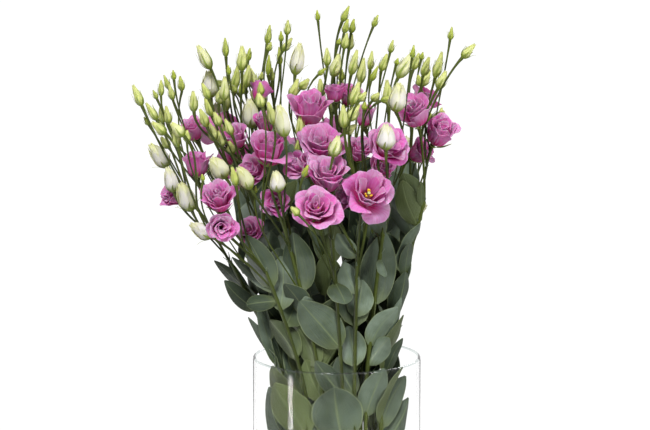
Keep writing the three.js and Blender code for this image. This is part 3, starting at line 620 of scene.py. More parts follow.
def layOut():
    specs = [{**spec, "turn": 0} for spec in frontSprays]
    for near, turn, small in turnedSprays:
        smallBuds = frontSprays[near]["smallBuds"][:small]
        specs.append({**frontSprays[near], "turn": turn, "smallBuds": smallBuds,
                      "back": leavesOnTurned, "leaves": []})
    sprays = [makeSpray(i, spec) for i, spec in enumerate(specs)]
    number = 0
    for spray in sprays:
        marks = spray["spec"]["flowers"]
        spray["flowers"] = [placeFlower(spray, mark, number + i) for i, mark in enumerate(marks)]
        number += len(marks)
    for spray in sprays:
        spray["buds"] = [placeBud(spray, mark, i) for i, mark in enumerate(spray["spec"]["buds"])]
    for spray in sprays:
        for flower in spray["flowers"]:
            flower["stalk"] = growStalk(spray, flower["base"], flower["facing"], stems["flowerStalk"],
                                        [firstFlowerOwner + flower["number"]])
    for spray in sprays:
        for bud in spray["buds"]:
            bud["stalk"] = budStalk(spray, bud, stems["budStalk"])
    for spray in sprays:
        endStem(spray)
    for spray in sprays:
        spray["leaves"] = [leaf for mark in spray["spec"]["leaves"] for leaf in shownLeaf(spray, mark)]
        spray["leaves"] += [leaf for k in range(spray["spec"]["back"]) for leaf in otherLeaf(spray, k)]
    for spray in sprays:
        for i, mark in enumerate(spray["spec"]["smallBuds"]):
            bud = placeBud(spray, mark, i + 0.5)
            bud["stalk"] = budStalk(spray, bud, stems["budStalk"] * stalks["smallRadius"],
                                    stalks["smallLength"])
            spray["buds"].append(bud)
    addBlades(leaf for spray in sprays for leaf in spray["leaves"])
    draw = np.random.default_rng(fillLeaves["seed"])
    for spray in sprays:
        heights = np.arange(fillLeaves["lowest"], spray["top"] - fillLeaves["clearOfTop"],
                            fillLeaves["spacing"])
        for i, height in enumerate(heights):
            height += fillLeaves["spread"] * draw.random()
            turn = fillLeaves["firstTurn"] * spray["number"] + 90 * i
            spray["leaves"] += pairOfLeaves(spray, height, turn, draw)
    for number, *mark in sideLeaves:
        sprays[number]["leaves"] += sideLeaf(sprays[number], *mark)
    return sprays


sprays = layOut()
print("laid out", len(sprays), "sprays,", sum(len(s["buds"]) for s in sprays), "buds,",
      sum(len(s["leaves"]) for s in sprays), "leaves")


# A mesh in the making: points in millimetres, faces, a place across and along each surface, and a tone
def newMesh():
    return {"points": [], "across": [], "tone": [], "quads": [], "quadSkin": [], "fans": [], "fanSkin": [],
            "count": 0}


def addPoints(mesh, points, across, tone):
    first = mesh["count"]
    mesh["points"].append(points.reshape(-1, 3))
    mesh["across"].append(across.reshape(-1, 2))
    mesh["count"] += len(mesh["points"][-1])
    mesh["tone"].append(np.full(mesh["count"] - first, float(tone)))
    return first


def addFaces(mesh, kind, faces, skin):  # the corners of each face stand in the last axis
    mesh[kind + "s"].append(faces.reshape(-1, faces.shape[-1]))
    mesh[kind + "Skin"].append(np.full(len(mesh[kind + "s"][-1]), skin))


def gridShares(rows, columns):  # places across (-1 to 1) and along (0 to 1) a sheet
    along, across = np.meshgrid(np.linspace(0, 1, rows), np.linspace(-1, 1, columns), indexing="ij")
    return across, along


def addSheet(mesh, points, across, along, thickness, tone, skin):
    # a thin closed blade: the grid pushed half its thickness to each side, and stitched round its edge
    rows, columns = points.shape[:2]
    normal = np.cross(np.gradient(points, axis=1), np.gradient(points, axis=0))
    normal = normal / np.maximum(np.linalg.norm(normal, axis=2, keepdims=True), 1e-9)
    half = normal * (thickness * (0.35 + 0.65 * np.sqrt(np.maximum(0, 1 - across ** 2))))[..., None] / 2
    place = np.stack([across, along], axis=-1)
    first = addPoints(mesh, points + half, place, tone)
    under = addPoints(mesh, points - half, place, tone) - first
    top = first + np.arange(rows * columns).reshape(rows, columns)
    face = [top[:-1, :-1], top[:-1, 1:], top[1:, 1:], top[1:, :-1]]
    rim = np.concatenate([top[0, :-1], top[:-1, -1], top[-1, :0:-1], top[:0:-1, 0]])
    addFaces(mesh, "quad", np.stack(face, axis=-1), skin)
    addFaces(mesh, "quad", np.stack(face[::-1], axis=-1) + under, skin)
    edge = [np.roll(rim, -1), rim, rim + under, np.roll(rim, -1) + under]
    addFaces(mesh, "quad", np.stack(edge, axis=-1), skin)


def addRound(mesh, rings, ends, along, tone, skin):
    # a closed round body: rings of points with their columns anticlockwise, and a point at each end
    rows, columns = rings.shape[:2]
    around = np.broadcast_to(np.linspace(-1, 1, columns, endpoint=False), (rows, columns))
    place = np.stack([around, np.broadcast_to(along[:, None], (rows, columns))], axis=-1)
    first = addPoints(mesh, rings, place, tone)
    poles = addPoints(mesh, np.array(ends), np.array([[0, along[0]], [0, along[-1]]]), tone)
    a = first + np.arange(rows * columns).reshape(rows, columns)
    b = np.roll(a, -1, axis=1)
    addFaces(mesh, "quad", np.stack([a[:-1], b[:-1], b[1:], a[1:]], axis=-1), skin)
    addFaces(mesh, "fan", np.stack([np.full(columns, poles), b[0], a[0]], axis=-1), skin)
    addFaces(mesh, "fan", np.stack([np.full(columns, poles + 1), a[-1], b[-1]], axis=-1), skin)


def addTube(mesh, path, radii, sides, tone, skin):
    # circles square to a path, with rounded ends
    tangent = headings(path)
    turning = np.cross(tangent[:-1], tangent[1:]).sum(0)
    chord = unit(path[-1] - path[0])
    plain = np.eye(3)[np.argmin(np.abs(chord))]
    lead = turning if np.linalg.norm(turning) > 1e-3 else np.cross(chord, plain)
    normal = unit(lead - tangent * (tangent @ lead)[:, None])
    binormal = np.cross(tangent, normal)
    angle = np.linspace(0, 2 * np.pi, sides, endpoint=False)[:, None]
    circle = normal[:, None] * np.cos(angle) + binormal[:, None] * np.sin(angle)
    rings = path[:, None] + circle * np.asarray(radii)[:, None, None]
    ends = [path[0] - tangent[0] * 0.5 * radii[0], path[-1] + tangent[-1] * 0.5 * radii[-1]]
    addRound(mesh, rings, ends, np.linspace(0, 1, len(path)), tone, skin)


sharpAngle = 50  # faces that meet at more than this, such as a blade's edge, aren't shaded as one


def fill(items, what, values, kind=np.float32):
    items.foreach_set(what, values.astype(kind).ravel())


def addObject(name, data):
    thing = bpy.data.objects.new(name, data)
    bpy.context.scene.collection.objects.link(thing)
    return thing


def finishMesh(name, mesh, skins):
    quads = np.concatenate(mesh["quads"])
    fans = np.concatenate(mesh["fans"] or [np.zeros((0, 3), int)])
    corners = np.concatenate([quads.ravel(), fans.ravel()])
    starts = np.concatenate([np.arange(len(quads)) * 4, 4 * len(quads) + np.arange(len(fans)) * 3])
    data = bpy.data.meshes.new(name)
    data.vertices.add(mesh["count"])
    data.loops.add(len(corners))
    data.polygons.add(len(starts))
    fill(data.vertices, "co", np.concatenate(mesh["points"]) * millimetre)
    fill(data.loops, "vertex_index", corners, np.int32)
    fill(data.polygons, "loop_start", starts, np.int32)
    for material in skins:
        data.materials.append(material)
    fill(data.polygons, "material_index", np.concatenate(mesh["quadSkin"] + mesh["fanSkin"]), np.int32)
    data.update(calc_edges=True)
    fill(data.uv_layers.new(name="shape").data, "uv", np.concatenate(mesh["across"])[corners])
    fill(data.attributes.new("tone", "FLOAT", "POINT").data, "value", np.concatenate(mesh["tone"]))
    data.shade_smooth()
    data.set_sharp_from_angle(angle=math.radians(sharpAngle))
    return addObject(name, data)


# Materials
def setSocket(tree, socket, value):  # a link, a number or a colour
    if isinstance(value, bpy.types.NodeSocket):
        tree.links.new(value, socket)
    elif isinstance(value, (int, float)) or len(socket.default_value) == 3:
        socket.default_value = value
    else:
        socket.default_value = (*value, 1)


def addNode(tree, kind, inputs, **settings):
    node = tree.nodes.new("ShaderNode" + kind)
    for name, value in settings.items():
        setattr(node, name, value)
    for key, value in inputs.items():
        setSocket(tree, node.inputs[key], value)
    return node


def mathNode(tree, operation, first, second=0):
    return addNode(tree, "Math", {0: first, 1: second}, operation=operation).outputs[0]


def mixColour(tree, factor, first, second):
    return addNode(tree, "Mix", {0: factor, 6: first, 7: second}, data_type="RGBA").outputs[2]


def noiseNode(tree, place, scale, detail):
    return addNode(tree, "TexNoise", {"Vector": place, "Scale": scale, "Detail": detail}).outputs["Fac"]


def spanNode(tree, value, low, high):  # 0 at low, 1 at high, eased between
    inputs = {"Value": value, "From Min": low, "From Max": high}
    return addNode(tree, "MapRange", inputs, interpolation_type="SMOOTHSTEP").outputs["Result"]


def newGroup(name, inputs, outputs):  # a number's socket where a value is given, else a vector's
    group = bpy.data.node_groups.new(name, "ShaderNodeTree")
    for label, value in inputs.items():
        kind = "NodeSocketVector" if value is None else "NodeSocketFloat"
        socket = group.interface.new_socket(label, in_out="INPUT", socket_type=kind)
        if value is not None:
            socket.default_value = value
    for label in outputs:
        group.interface.new_socket(label, in_out="OUTPUT", socket_type="NodeSocketFloat")
    return group, group.nodes.new("NodeGroupInput").outputs, group.nodes.new("NodeGroupOutput").inputs


def makeBlotches():
    # soft patches and fine grain in the bunch's own space, as two masks from 0 to 1
    group, given, out = newGroup("blotches", {"Place": None, "Patch size": 60.0, "Grain size": 900.0},
                                 ("Patches", "Grain"))
    for label, size, detail in (("Patches", "Patch size", 3), ("Grain", "Grain size", 2)):
        noise = noiseNode(group, given["Place"], given[size], detail)
        group.links.new(spanNode(group, noise, 0.34, 0.66), out[label])
    return group


def makeVeins():
    # fine lines that run along a blade and fan out a little towards its tip
    group, given, out = newGroup("veins", {"Blade": None, "Tone": 0.5, "Lines": 9.0, "Spread": 0.6},
                                 ("Veins", "Streaks"))
    across, along = addNode(group, "SeparateXYZ", {0: given["Blade"]}).outputs[:2]
    narrow = mathNode(group, "MULTIPLY", along, given["Spread"])
    fanned = mathNode(group, "DIVIDE", across, mathNode(group, "ADD", narrow, 0.55))
    place = addNode(group, "CombineXYZ", {0: mathNode(group, "MULTIPLY", fanned, given["Lines"]),
                                          1: mathNode(group, "MULTIPLY", along, 1.3),
                                          2: mathNode(group, "MULTIPLY", given["Tone"], 37.0)}).outputs[0]
    for label, scale, detail, span in (("Veins", 2.2, 2, (0.42, 0.62)), ("Streaks", 0.55, 1, (0.36, 0.64))):
        group.links.new(spanNode(group, noiseNode(group, place, scale, detail), *span), out[label])
    return group


def newMaterial(name, values):
    material = bpy.data.materials.new(name)
    material.use_nodes = True
    shader = material.node_tree.nodes["Principled BSDF"]
    for label, value in values.items():
        setSocket(material.node_tree, shader.inputs[label], value)
    return material, material.node_tree, shader


def bump(tree, shader, height, strength, distance):
    inputs = {"Strength": strength, "Distance": distance, "Height": height}
    tree.links.new(addNode(tree, "Bump", inputs).outputs[0], shader.inputs["Normal"])


blotches, veins = makeBlotches(), makeVeins()


def surfaceMasks(tree, look):
    # the place along the surface and aside of its middle, its tone, and what its blotches and veins give
    place = addNode(tree, "TexCoord", {}).outputs["Object"]
    blade = addNode(tree, "UVMap", {}, uv_map="shape").outputs[0]
    tone = addNode(tree, "Attribute", {}, attribute_name="tone").outputs["Fac"]
    across, along = addNode(tree, "SeparateXYZ", {0: blade}).outputs[:2]
    masks = {"tone": tone, "along": along, "aside": mathNode(tree, "ABSOLUTE", across)}
    for key, group, given in (("blotches", blotches, {"Place": place}),
                              ("veins", veins, {"Blade": blade, "Tone": tone})):
        if key in look:
            node = addNode(tree, "Group", {**given, **look[key]}, node_tree=group)
            masks.update({output.name.lower(): output for output in node.outputs})
    if "bloomPower" in look:
        paler = mathNode(tree, "POWER", tone, look["bloomPower"])
        masks["bloom"] = mathNode(tree, "MULTIPLY", mathNode(tree, "ADD", masks["patches"], tone), paler)
    return masks


def product(tree, masks, share, factors):
    # a share times masks, each a name, or a name and the values where its easing begins and ends
    for name, *span in factors:
        mask = spanNode(tree, masks[name], *span) if span else masks[name]
        share = mathNode(tree, "MULTIPLY", mask, share)
    return share


def makeSkin(name, look):
    # colour laid over colour, each by its share and masks, and a height that adds up in the same way
    material, tree, shader = newMaterial(name, look["shader"])
    masks = surfaceMasks(tree, look)
    first, *layers = look["layers"]
    colour, height = look[first], 0
    for tint, share, *factors in layers:
        colour = mixColour(tree, product(tree, masks, share, factors), colour, look[tint])
    for share, *factors in look["relief"]:
        height = mathNode(tree, "ADD", product(tree, masks, share, factors), height)
    tree.links.new(colour, shader.inputs["Base Color"])
    bump(tree, shader, height, *look["bump"])
    return material


# Each look holds its colours, the shader's own values, the sizes of its blotches and veins, its layers (the
# colour underneath, then each colour over it with its share and masks) and the relief for the bump
petalLook = {
    # deep serves the veins and, as painted shade, the cup round each petal's foot
    "deep": (0.52, 0.003, 0.13), "mid": (0.72, 0.090, 0.43), "pale": (0.61, 0.44, 0.58),
    "foot": (0.50, 0.52, 0.28),
    "shader": {"Roughness": 0.6, "Specular IOR Level": 0.12, "Subsurface Weight": 0.5,
               "Subsurface Scale": 0.005, "Subsurface Radius": (1, 0.25, 0.5)},
    "blotches": {"Patch size": 70.0, "Grain size": 1400.0}, "veins": {"Lines": 9.0},
    "layers": [
        # Painted shade: each petal is left deep from the middle of its length down towards its foot, where
        # the cup is in shade; the deep veins are the petal's own
        "deep", ("mid", 1, ("along", 0.25, 0.85)), ("pale", 0.85, ("along", 0.25, 0.85), ("tone",)),
        ("pale", 0.28, ("streaks",)), ("deep", 0.22, ("veins",)), ("mid", 0.18, ("patches",)),
        ("pale", 0.22, ("along", 0.93, 1)), ("foot", 1, ("along", 0.2, 0.02))],
    "relief": [(1, ("veins",))], "bump": (0.25, 0.0004)}
leafLook = {
    "dark": (0.011, 0.021, 0.010), "mid": (0.062, 0.094, 0.052), "pale": (0.27, 0.345, 0.27),
    "olive": (0.105, 0.135, 0.042), "rib": (0.20, 0.25, 0.11), "edge": (0.26, 0.31, 0.14),
    "shader": {"Roughness": 0.48, "Specular IOR Level": 0.3},
    "blotches": {"Patch size": 38.0, "Grain size": 700.0}, "veins": {"Lines": 4.0, "Spread": -0.25},
    "bloomPower": 1.5,
    "layers": [
        "dark", ("mid", 1, ("tone",)), ("olive", 0.8, ("tone", 0.26, 0.2)), ("pale", 0.5, ("bloom",)),
        ("olive", 0.6, ("along", 0.3, 0)), ("olive", 0.22, ("veins",)),
        ("rib", 0.45, ("aside", 0.08, 0.01)), ("edge", 0.55, ("aside", 0.93, 0.99))],
    "relief": [(-0.6, ("aside", 0.08, 0.01)), (1, ("veins",)), (0.35, ("grain",))], "bump": (0.35, 0.0006)}
stemLook = {
    "mid": (0.037, 0.050, 0.008), "pale": (0.080, 0.106, 0.016), "dark": (0.016, 0.023, 0.004),
    "shader": {"Roughness": 0.55, "Specular IOR Level": 0.2},
    "blotches": {"Patch size": 40.0, "Grain size": 1200.0},
    "layers": [
        "mid", ("pale", 1, ("tone",)), ("dark", 0.5, ("patches",)), ("pale", 0.4, ("along", 0.75, 1))],
    "relief": [(1, ("grain",))], "bump": (0.2, 0.0003)}
budLook = {  # tone 0 is a green bud, 0.5 a cream one and 1 a white one
    "green": (0.32, 0.38, 0.048), "cream": (0.57, 0.60, 0.25), "white": (0.81, 0.77, 0.68),
    "tip": (0.56, 0.58, 0.17), "foot": (0.20, 0.27, 0.01),
    "shader": {"Roughness": 0.55, "Specular IOR Level": 0.12, "Subsurface Weight": 0.4,
               "Subsurface Scale": 0.004, "Subsurface Radius": (1, 1, 0.5)},
    "veins": {"Lines": 14.0, "Spread": -0.3},
    "layers": [
        "green", ("cream", 1, ("tone", 0, 0.5)), ("white", 1, ("tone", 0.5, 1)),
        ("foot", 1, ("along", 0.4, 0.02)), ("tip", 0.5, ("along", 0.7, 1)), ("green", 0.14, ("veins",))],
    "relief": [(1, ("veins",))], "bump": (0.3, 0.0004)}
sepalLook = {
    "mid": (0.22, 0.30, 0.035), "tip": (0.40, 0.46, 0.10), "dark": stemLook["dark"],
    "shader": {"Roughness": 0.5}, "blotches": {"Patch size": 90.0},
    "layers": ["mid", ("tip", 1, ("along", 0.3, 1)), ("dark", 0.3, ("patches",))],
    "relief": [(1, ("grain",))], "bump": (0.15, 0.0003)}
stamenLook = {
    "yellow": (0.85, 0.62, 0.02), "orange": (0.60, 0.36, 0.01), "green": (0.42, 0.50, 0.16),
    "shader": {"Roughness": 0.7}, "blotches": {"Patch size": 500.0},
    "layers": ["yellow", ("orange", 1, ("patches",)), ("green", 1, ("tone", 0.6, 0.3))],
    "relief": [(1, ("grain",))], "bump": (0.4, 0.0003)}

foliageSkins = [makeSkin("stemSkin", stemLook), makeSkin("leafSkin", leafLook),
                makeSkin("budSkin", budLook), makeSkin("sepalSkin", sepalLook)]
stemPart, leafPart, budPart, sepalPart = range(4)
petalSkins = [makeSkin("petalSkin", petalLook), makeSkin("stamenSkin", stamenLook)]
petalPart, stamenPart = range(2)


# Leaf blades
def leafOutline(along):
    # a sine of a power of the length, broadest below the middle, with a broad foot that clasps the stem
    return np.sin(np.pi * np.minimum(along ** 0.88, 0.99)) ** 0.66 + 0.2 * (1 - along) ** 3


def addLeaf(mesh, leaf, key):
    # arch, crease and curled tip bend the blade back, waves run along its edges, and it sways aside
    draw = np.random.default_rng(key)
    across, along = gridShares(leaves["rows"], leaves["columns"])
    side = across * leafOutline(along) * leaf["width"] / 2
    fold = leaves["fold"] * (0.6 + 0.8 * draw.random() + 2.2 * (draw.random() > 0.86))
    length = leaf["length"]
    arch = leaves["arch"] * length * along * (1 - along) * 2
    crease = fold * (np.sqrt(side ** 2 + leaves["creaseRound"] ** 2) - leaves["creaseRound"])
    waves = leaves["wave"] * leaf["width"] * across ** 2 * np.sin(
        2 * np.pi * (leaves["waves"] * along + draw.random() + 0.25 * np.sign(across)))
    curl = leaves["tipCurl"] * length * along ** 4 * draw.uniform(*leaves["curlDraw"])
    sway = leaves["sway"] * length * draw.uniform(-1, 1) * np.sin(np.pi * along)
    depth = -(arch + crease + curl) + waves * np.sin(np.pi * along)
    points = (leaf["base"] + leaf["along"] * (along * length)[..., None]
              + leaf["side"] * (side + sway)[..., None] + leaf["face"] * depth[..., None])
    # painted shade: a darker tone low in the bunch, and darker still for the leaves filled in behind the
    # shown ones
    inner = leaves["shadedLowTone"][0 if leaf["room"] else 1]
    tone = draw.uniform(*leaves["tones"]) * np.interp(leaf["base"][2], leaves["shadedLowHeights"], (inner, 1))
    addSheet(mesh, keepInVase(points, leaf["room"]), across, along, leaves["thickness"], tone, leafPart)


# Buds: petals rolled into a point, in a calyx of five awl shaped sepals
buds = {"rows": 14, "petals": 5, "columnsPerPetal": 4, "twist": 1.9, "overlap": 0.10, "fill": 0.96,
        "ragged": 0.07, "looseFrom": 13, "looseRows": 10, "looseColumns": 9, "looseHalf": 0.78,
        "petalThickness": 0.5}
sepals = {"count": 5, "rows": 8, "columns": 3, "thickness": 0.35, "width": 0.2, "off": 0.35, "twist": 0.35}


def axisFrame(axis):  # two directions square to an axis, the first as far to the right as can be
    aside = rightward - axis * (rightward @ axis) if abs(axis[0]) < 0.95 else np.cross(axis, zenith)
    first = unit(aside)
    return first, np.cross(axis, first)


def roundAxis(base, axis, rise, radius, angle):  # points round an axis, each at its rise, radius and angle
    first, second = axisFrame(axis)
    return (base + axis * rise[..., None] + first * (radius * np.cos(angle))[..., None]
            + second * (radius * np.sin(angle))[..., None])


def budProfile(share, width):
    # radius along a bud: a quick belly, a long shoulder, fuller in a wide bud, and a narrow tip
    fullness = np.interp(width, (6, 12), (1.15, 1.7))
    belly = np.sin(np.pi * np.minimum(1, share / 0.40) * 0.5) ** 0.7
    shoulder = 1 - 0.76 * np.clip((share - 0.30) / 0.70, 0, 1) ** fullness
    return 0.22 * (1 - share) ** 4 + belly * shoulder


def addBud(mesh, bud, key):
    # the profile with the edge of each petal lapping over the next, wound up by a twist, ragged at the tip
    draw = np.random.default_rng(key)
    base, width, perPetal = bud["base"], bud["width"], buds["columnsPerPetal"]
    length = np.linalg.norm(bud["tip"] - base)
    axis = unit(bud["tip"] - base)
    loose = width >= buds["looseFrom"]
    if loose:
        tone = draw.uniform(0.75, 1)
    else:
        tone = min(0.7, max(0.05, (width - 5) * 0.09 + draw.uniform(-0.1, 0.2)))
    share = np.linspace(0.02, 1, buds["rows"])[:, None]
    column = np.arange(buds["petals"] * perPetal)[None, :]
    lap = (column % perPetal) / (perPetal - 1) - 0.5
    angle = 2 * np.pi * column / column.size + buds["twist"] * share + draw.uniform(0, 6)
    radius = budProfile(share, width) * (1 + 2 * buds["overlap"] * lap * share ** 0.5)
    rise = share * length * 0.97 + buds["ragged"] * length * share ** 6 * np.sin(2 * angle + lap * 3)
    rings = roundAxis(base, axis, rise, bud["radius"] * buds["fill"] * radius, angle)
    addRound(mesh, rings, [base, base + axis * length * 0.93], share[:, 0], tone, budPart)
    if loose:
        addLoosePetals(mesh, bud, axis, length, tone, draw)
    curve = np.linspace(0, 0.8, 40)
    addSepals(mesh, base, axis, bud["radius"] * budProfile(curve, width) * 1.03, curve * length,
              draw.uniform(0.75, 1.0) * (0.5 if loose else 1), bud["radius"] * draw.uniform(0.3, 1.1), draw)


def addLoosePetals(mesh, bud, axis, length, tone, draw):
    # petals round a large bud that have begun to part: the bud's own profile, in a spiral, with tips apart
    across, along = gridShares(buds["looseRows"], buds["looseColumns"])
    for i in range(buds["petals"]):
        turn = 2 * np.pi * i / buds["petals"] + draw.uniform(-0.2, 0.2)
        reach = draw.uniform(0.82, 1.0)
        tall = along * (1 - 0.3 * np.abs(across) ** 2.2) * reach
        tall = tall + 0.03 * np.sin(9 * across + turn) * along ** 4
        flare = draw.uniform(0.02, 0.30) * np.maximum(0, along - 0.6) ** 1.5 * 3
        radius = bud["radius"] * (budProfile(tall, bud["width"]) * (1.0 + 0.1 * across) + flare)
        angle = turn + buds["twist"] * 0.5 * tall + across * buds["looseHalf"] * (1 - 0.25 * along ** 2)
        addSheet(mesh, roundAxis(bud["base"], axis, tall * length, radius, angle), across, along,
                 buds["petalThickness"], min(1, tone + draw.uniform(-0.1, 0.1)), budPart)


def addSepals(mesh, base, axis, radii, rises, reach, off, draw):
    # narrow blades that follow a body's outline, given as radii and rises, and stand off it at their tips
    across, along = gridShares(sepals["rows"], sepals["columns"])
    steps = np.linspace(0, 1, len(radii))
    for i in range(sepals["count"]):
        turn = 2 * np.pi * (i + 0.5) / sepals["count"] + draw.uniform(-0.15, 0.15)
        standing = off * draw.uniform(0.4, 1) * along ** 4
        out = np.interp(along * reach, steps, radii) + sepals["off"] + standing
        rise = np.interp(along * reach, steps, rises)
        narrow = sepals["width"] * radii.max() / np.maximum(out, 1) * (1 - along) ** 0.8 + 0.25 / out
        points = roundAxis(base, axis, rise, out, turn + sepals["twist"] * along + across * narrow)
        addSheet(mesh, points, across, along, sepals["thickness"], draw.random(), sepalPart)


bracts = {"length": 7, "width": 0.3, "lean": 0.4, "rows": 5, "columns": 3, "thickness": 0.5}


def addBracts(mesh, stalk, key):
    # a pair of small narrow leaves where a stalk leaves the wood, a sine of a power of the length wide
    draw = np.random.default_rng(key)
    wood, along = stalk["wood"][:3], stalk["wood"][3:]
    first, second = axisFrame(along)
    turn = draw.uniform(0, 2 * np.pi)
    across, share = gridShares(bracts["rows"], bracts["columns"])
    for hand in (1, -1):
        out = hand * (first * math.cos(turn) + second * math.sin(turn))
        length = bracts["length"] * draw.uniform(0.6, 1.5)
        up = unit(along + out * bracts["lean"] * draw.uniform(0.6, 1.4))
        side = across * length * bracts["width"] * np.sin(
            np.pi * np.minimum(0.98, share ** 0.7 * 0.93 + 0.05))
        bend = 0.1 * length * share * (1 - share) - 0.15 * np.abs(side)
        points = (wood + out * 1.0 + up * (share * length)[..., None]
                  + np.cross(up, out) * (side * 0.5)[..., None] + out * bend[..., None])
        addSheet(mesh, points, across, share, bracts["thickness"], draw.random(), leafPart)


def addStalk(mesh, stalk, key, foot, flare):
    # widens a little from its foot on, more so below its flower or bud, and at last into the calyx
    draw = np.random.default_rng(key)
    share = np.linspace(0, 1, stems["stalkRings"])
    path = stalkCurve(stalk["wood"], stalk["target"], stalk["into"], stalk["bow"], share)
    widening = (foot + (1 - foot) * share ** 0.4) * (0.85 + 0.3 * share ** 6)
    radii = stalk["radius"] * stems["shownWidth"] * widening + flare * np.maximum(0, share - 0.9) * 10
    addTube(mesh, path, radii, stems["stalkSides"], draw.uniform(0.1, 0.9), stemPart)


def addStem(mesh, spray, key):
    # the foot is the thickest, the top the thinnest, and each leaf pair sits on a low knuckle
    heights = np.linspace(stems["foot"], spray["top"], stems["rings"])
    share = np.linspace(0, 1, stems["rings"])
    knuckles = np.array([leaf["base"][2] for leaf in spray["leaves"]])
    near = np.exp(-((heights[:, None] - knuckles) / stems["nodeLength"]) ** 2).max(axis=1)
    radii = stems["footRadius"] + (stems["topRadius"] - stems["footRadius"]) * share
    addTube(mesh, stemAt(spray["crown"], heights), radii * (1 + stems["nodeSwell"] * near), stems["sides"],
            key % 7 / 7, stemPart)


# Flowers: rings of broad petals wrapped round the axis, the outer ones turned out at the rim.
# Pairs are for a half open and a full open flower, or a flower's outer and inner rings
petals = {"rows": 14, "columns": 13, "thickness": 0.45, "ruffle": 0.018, "tip": 0.025, "edgeDrop": 0.26,
          "crease": (-0.015, 0.04), "foot": 0.45, "spiral": (0.10, 0.22), "woundSpiral": 0.5, "lap": 0.012,
          "hole": 0.03, "roll": (0.05, 0.015), "outerRings": 3, "turnDraw": 0.25, "leanDraw": (8, 4),
          "curveSteps": 60, "radius": (0.44, 0.06), "height": (0.92, -0.30), "rimSlack": 0.06, "seat": 0.5,
          "openFrom": 0.2, "stamensFrom": 0.75}
# For each ring from the outside in: petals, length, half angle in radians,
# and how far the foot, middle and rim lean out in degrees, half open and full open.
rose = [
    (5, 1.00, 0.88, (54, 78), (14, 36), (36, 104)),
    (5, 0.96, 0.92, (40, 56), (6, 20), (22, 72)),
    (4, 0.93, 1.05, (26, 40), (2, 12), (10, 46)),
    (3, 0.88, 1.40, (16, 24), (0, 5), (4, 26)),
    (1, 0.84, 5.20, (8, 12), (-1, 2), (0, 12)),
]
cup = [
    (5, 1.05, 0.82, (70, 88), (30, 52), (60, 118)),
    (5, 0.98, 0.86, (52, 62), (20, 30), (30, 52)),
    (4, 0.84, 0.80, (48, 56), (14, 22), (16, 34)),
]
bowl = [
    (5, 1.00, 0.86, (56, 76), (16, 34), (44, 96)),
    (5, 0.97, 0.92, (46, 58), (10, 22), (32, 74)),
    (4, 0.92, 1.00, (36, 46), (6, 14), (26, 56)),
    (3, 0.84, 1.30, (30, 38), (2, 8), (20, 42)),
    (3, 0.74, 1.40, (24, 32), (0, 5), (12, 30)),
]
tight = [
    (4, 1.00, 1.02, (52, 62), (6, 18), (30, 66)),
    (4, 0.99, 1.10, (42, 52), (0, 10), (14, 44)),
    (3, 0.98, 1.40, (32, 40), (-5, 3), (4, 28)),
    (3, 0.95, 1.50, (20, 28), (-6, 0), (-2, 16)),
    (1, 0.90, 4.40, (10, 14), (-4, 0), (-6, 8)),
]
# Which flowers aren't roses, and where one petal of a flower hangs out: the direction in the picture
# (0 to the right, 90 up), how far, and whether it bends over low down
kindOf = {20: cup, **dict.fromkeys((3, 14, 19, 24), bowl),
          **dict.fromkeys((5, 10, 13, 17, 22, 26, 27), tight)}
hangingPetals = {10: (-40, 62, 1), 13: (-80, 85, 0), 14: (20, 40, 0), 15: (5, 45, 0), 20: (-50, 45, 0),
                 24: (-30, 50, 0)}


def easeBetween(t, low, high):  # 0 at low and 1 at high, between them three squares less two cubes
    s = np.clip((t - low) / (high - low), 0, 1)
    return s * s * (3 - 2 * s)


def petalCurve(lean, length, early=0):
    # the petal's middle line: its lean eases from foot to middle to rim, and its radius and height add up
    t = np.linspace(0, 1, petals["curveSteps"])
    foot, middle, rim = lean
    angle = np.radians(foot + (middle - foot) * easeBetween(t, 0, 0.42)
                       + (rim - middle) * easeBetween(t, 0.55 - 0.2 * early, 1.0 - 0.32 * early))
    step = length / (petals["curveSteps"] - 1)
    return t, *(np.concatenate([[0], np.cumsum(part)[:-1]]) * step for part in (np.sin(angle), np.cos(angle)))


def ringsOf(flower):
    return kindOf.get(flower["number"] + 1, rose)


def leanOf(leans, flower):  # foot, middle and rim between half open and full open
    share = min(1, max(0, (flower["open"] - petals["openFrom"]) / (1 - petals["openFrom"])))
    return np.array([low + (high - low) * share for low, high in leans])


def flowerScale(flower):
    # millimetres a unit of radius and of height, which make the even flower as wide and tall as it should be
    curves = [petalCurve(leanOf(leans, flower), length) for _, length, _, *leans in ringsOf(flower)]
    wide, tall = [flower["width"] * (petals[part][0] + petals[part][1] * flower["open"])
                  for part in ("radius", "height")]
    return (wide / (max(radius.max() for _, radius, _ in curves) + petals["rimSlack"]),
            tall / max(height.max() for _, _, height in curves))


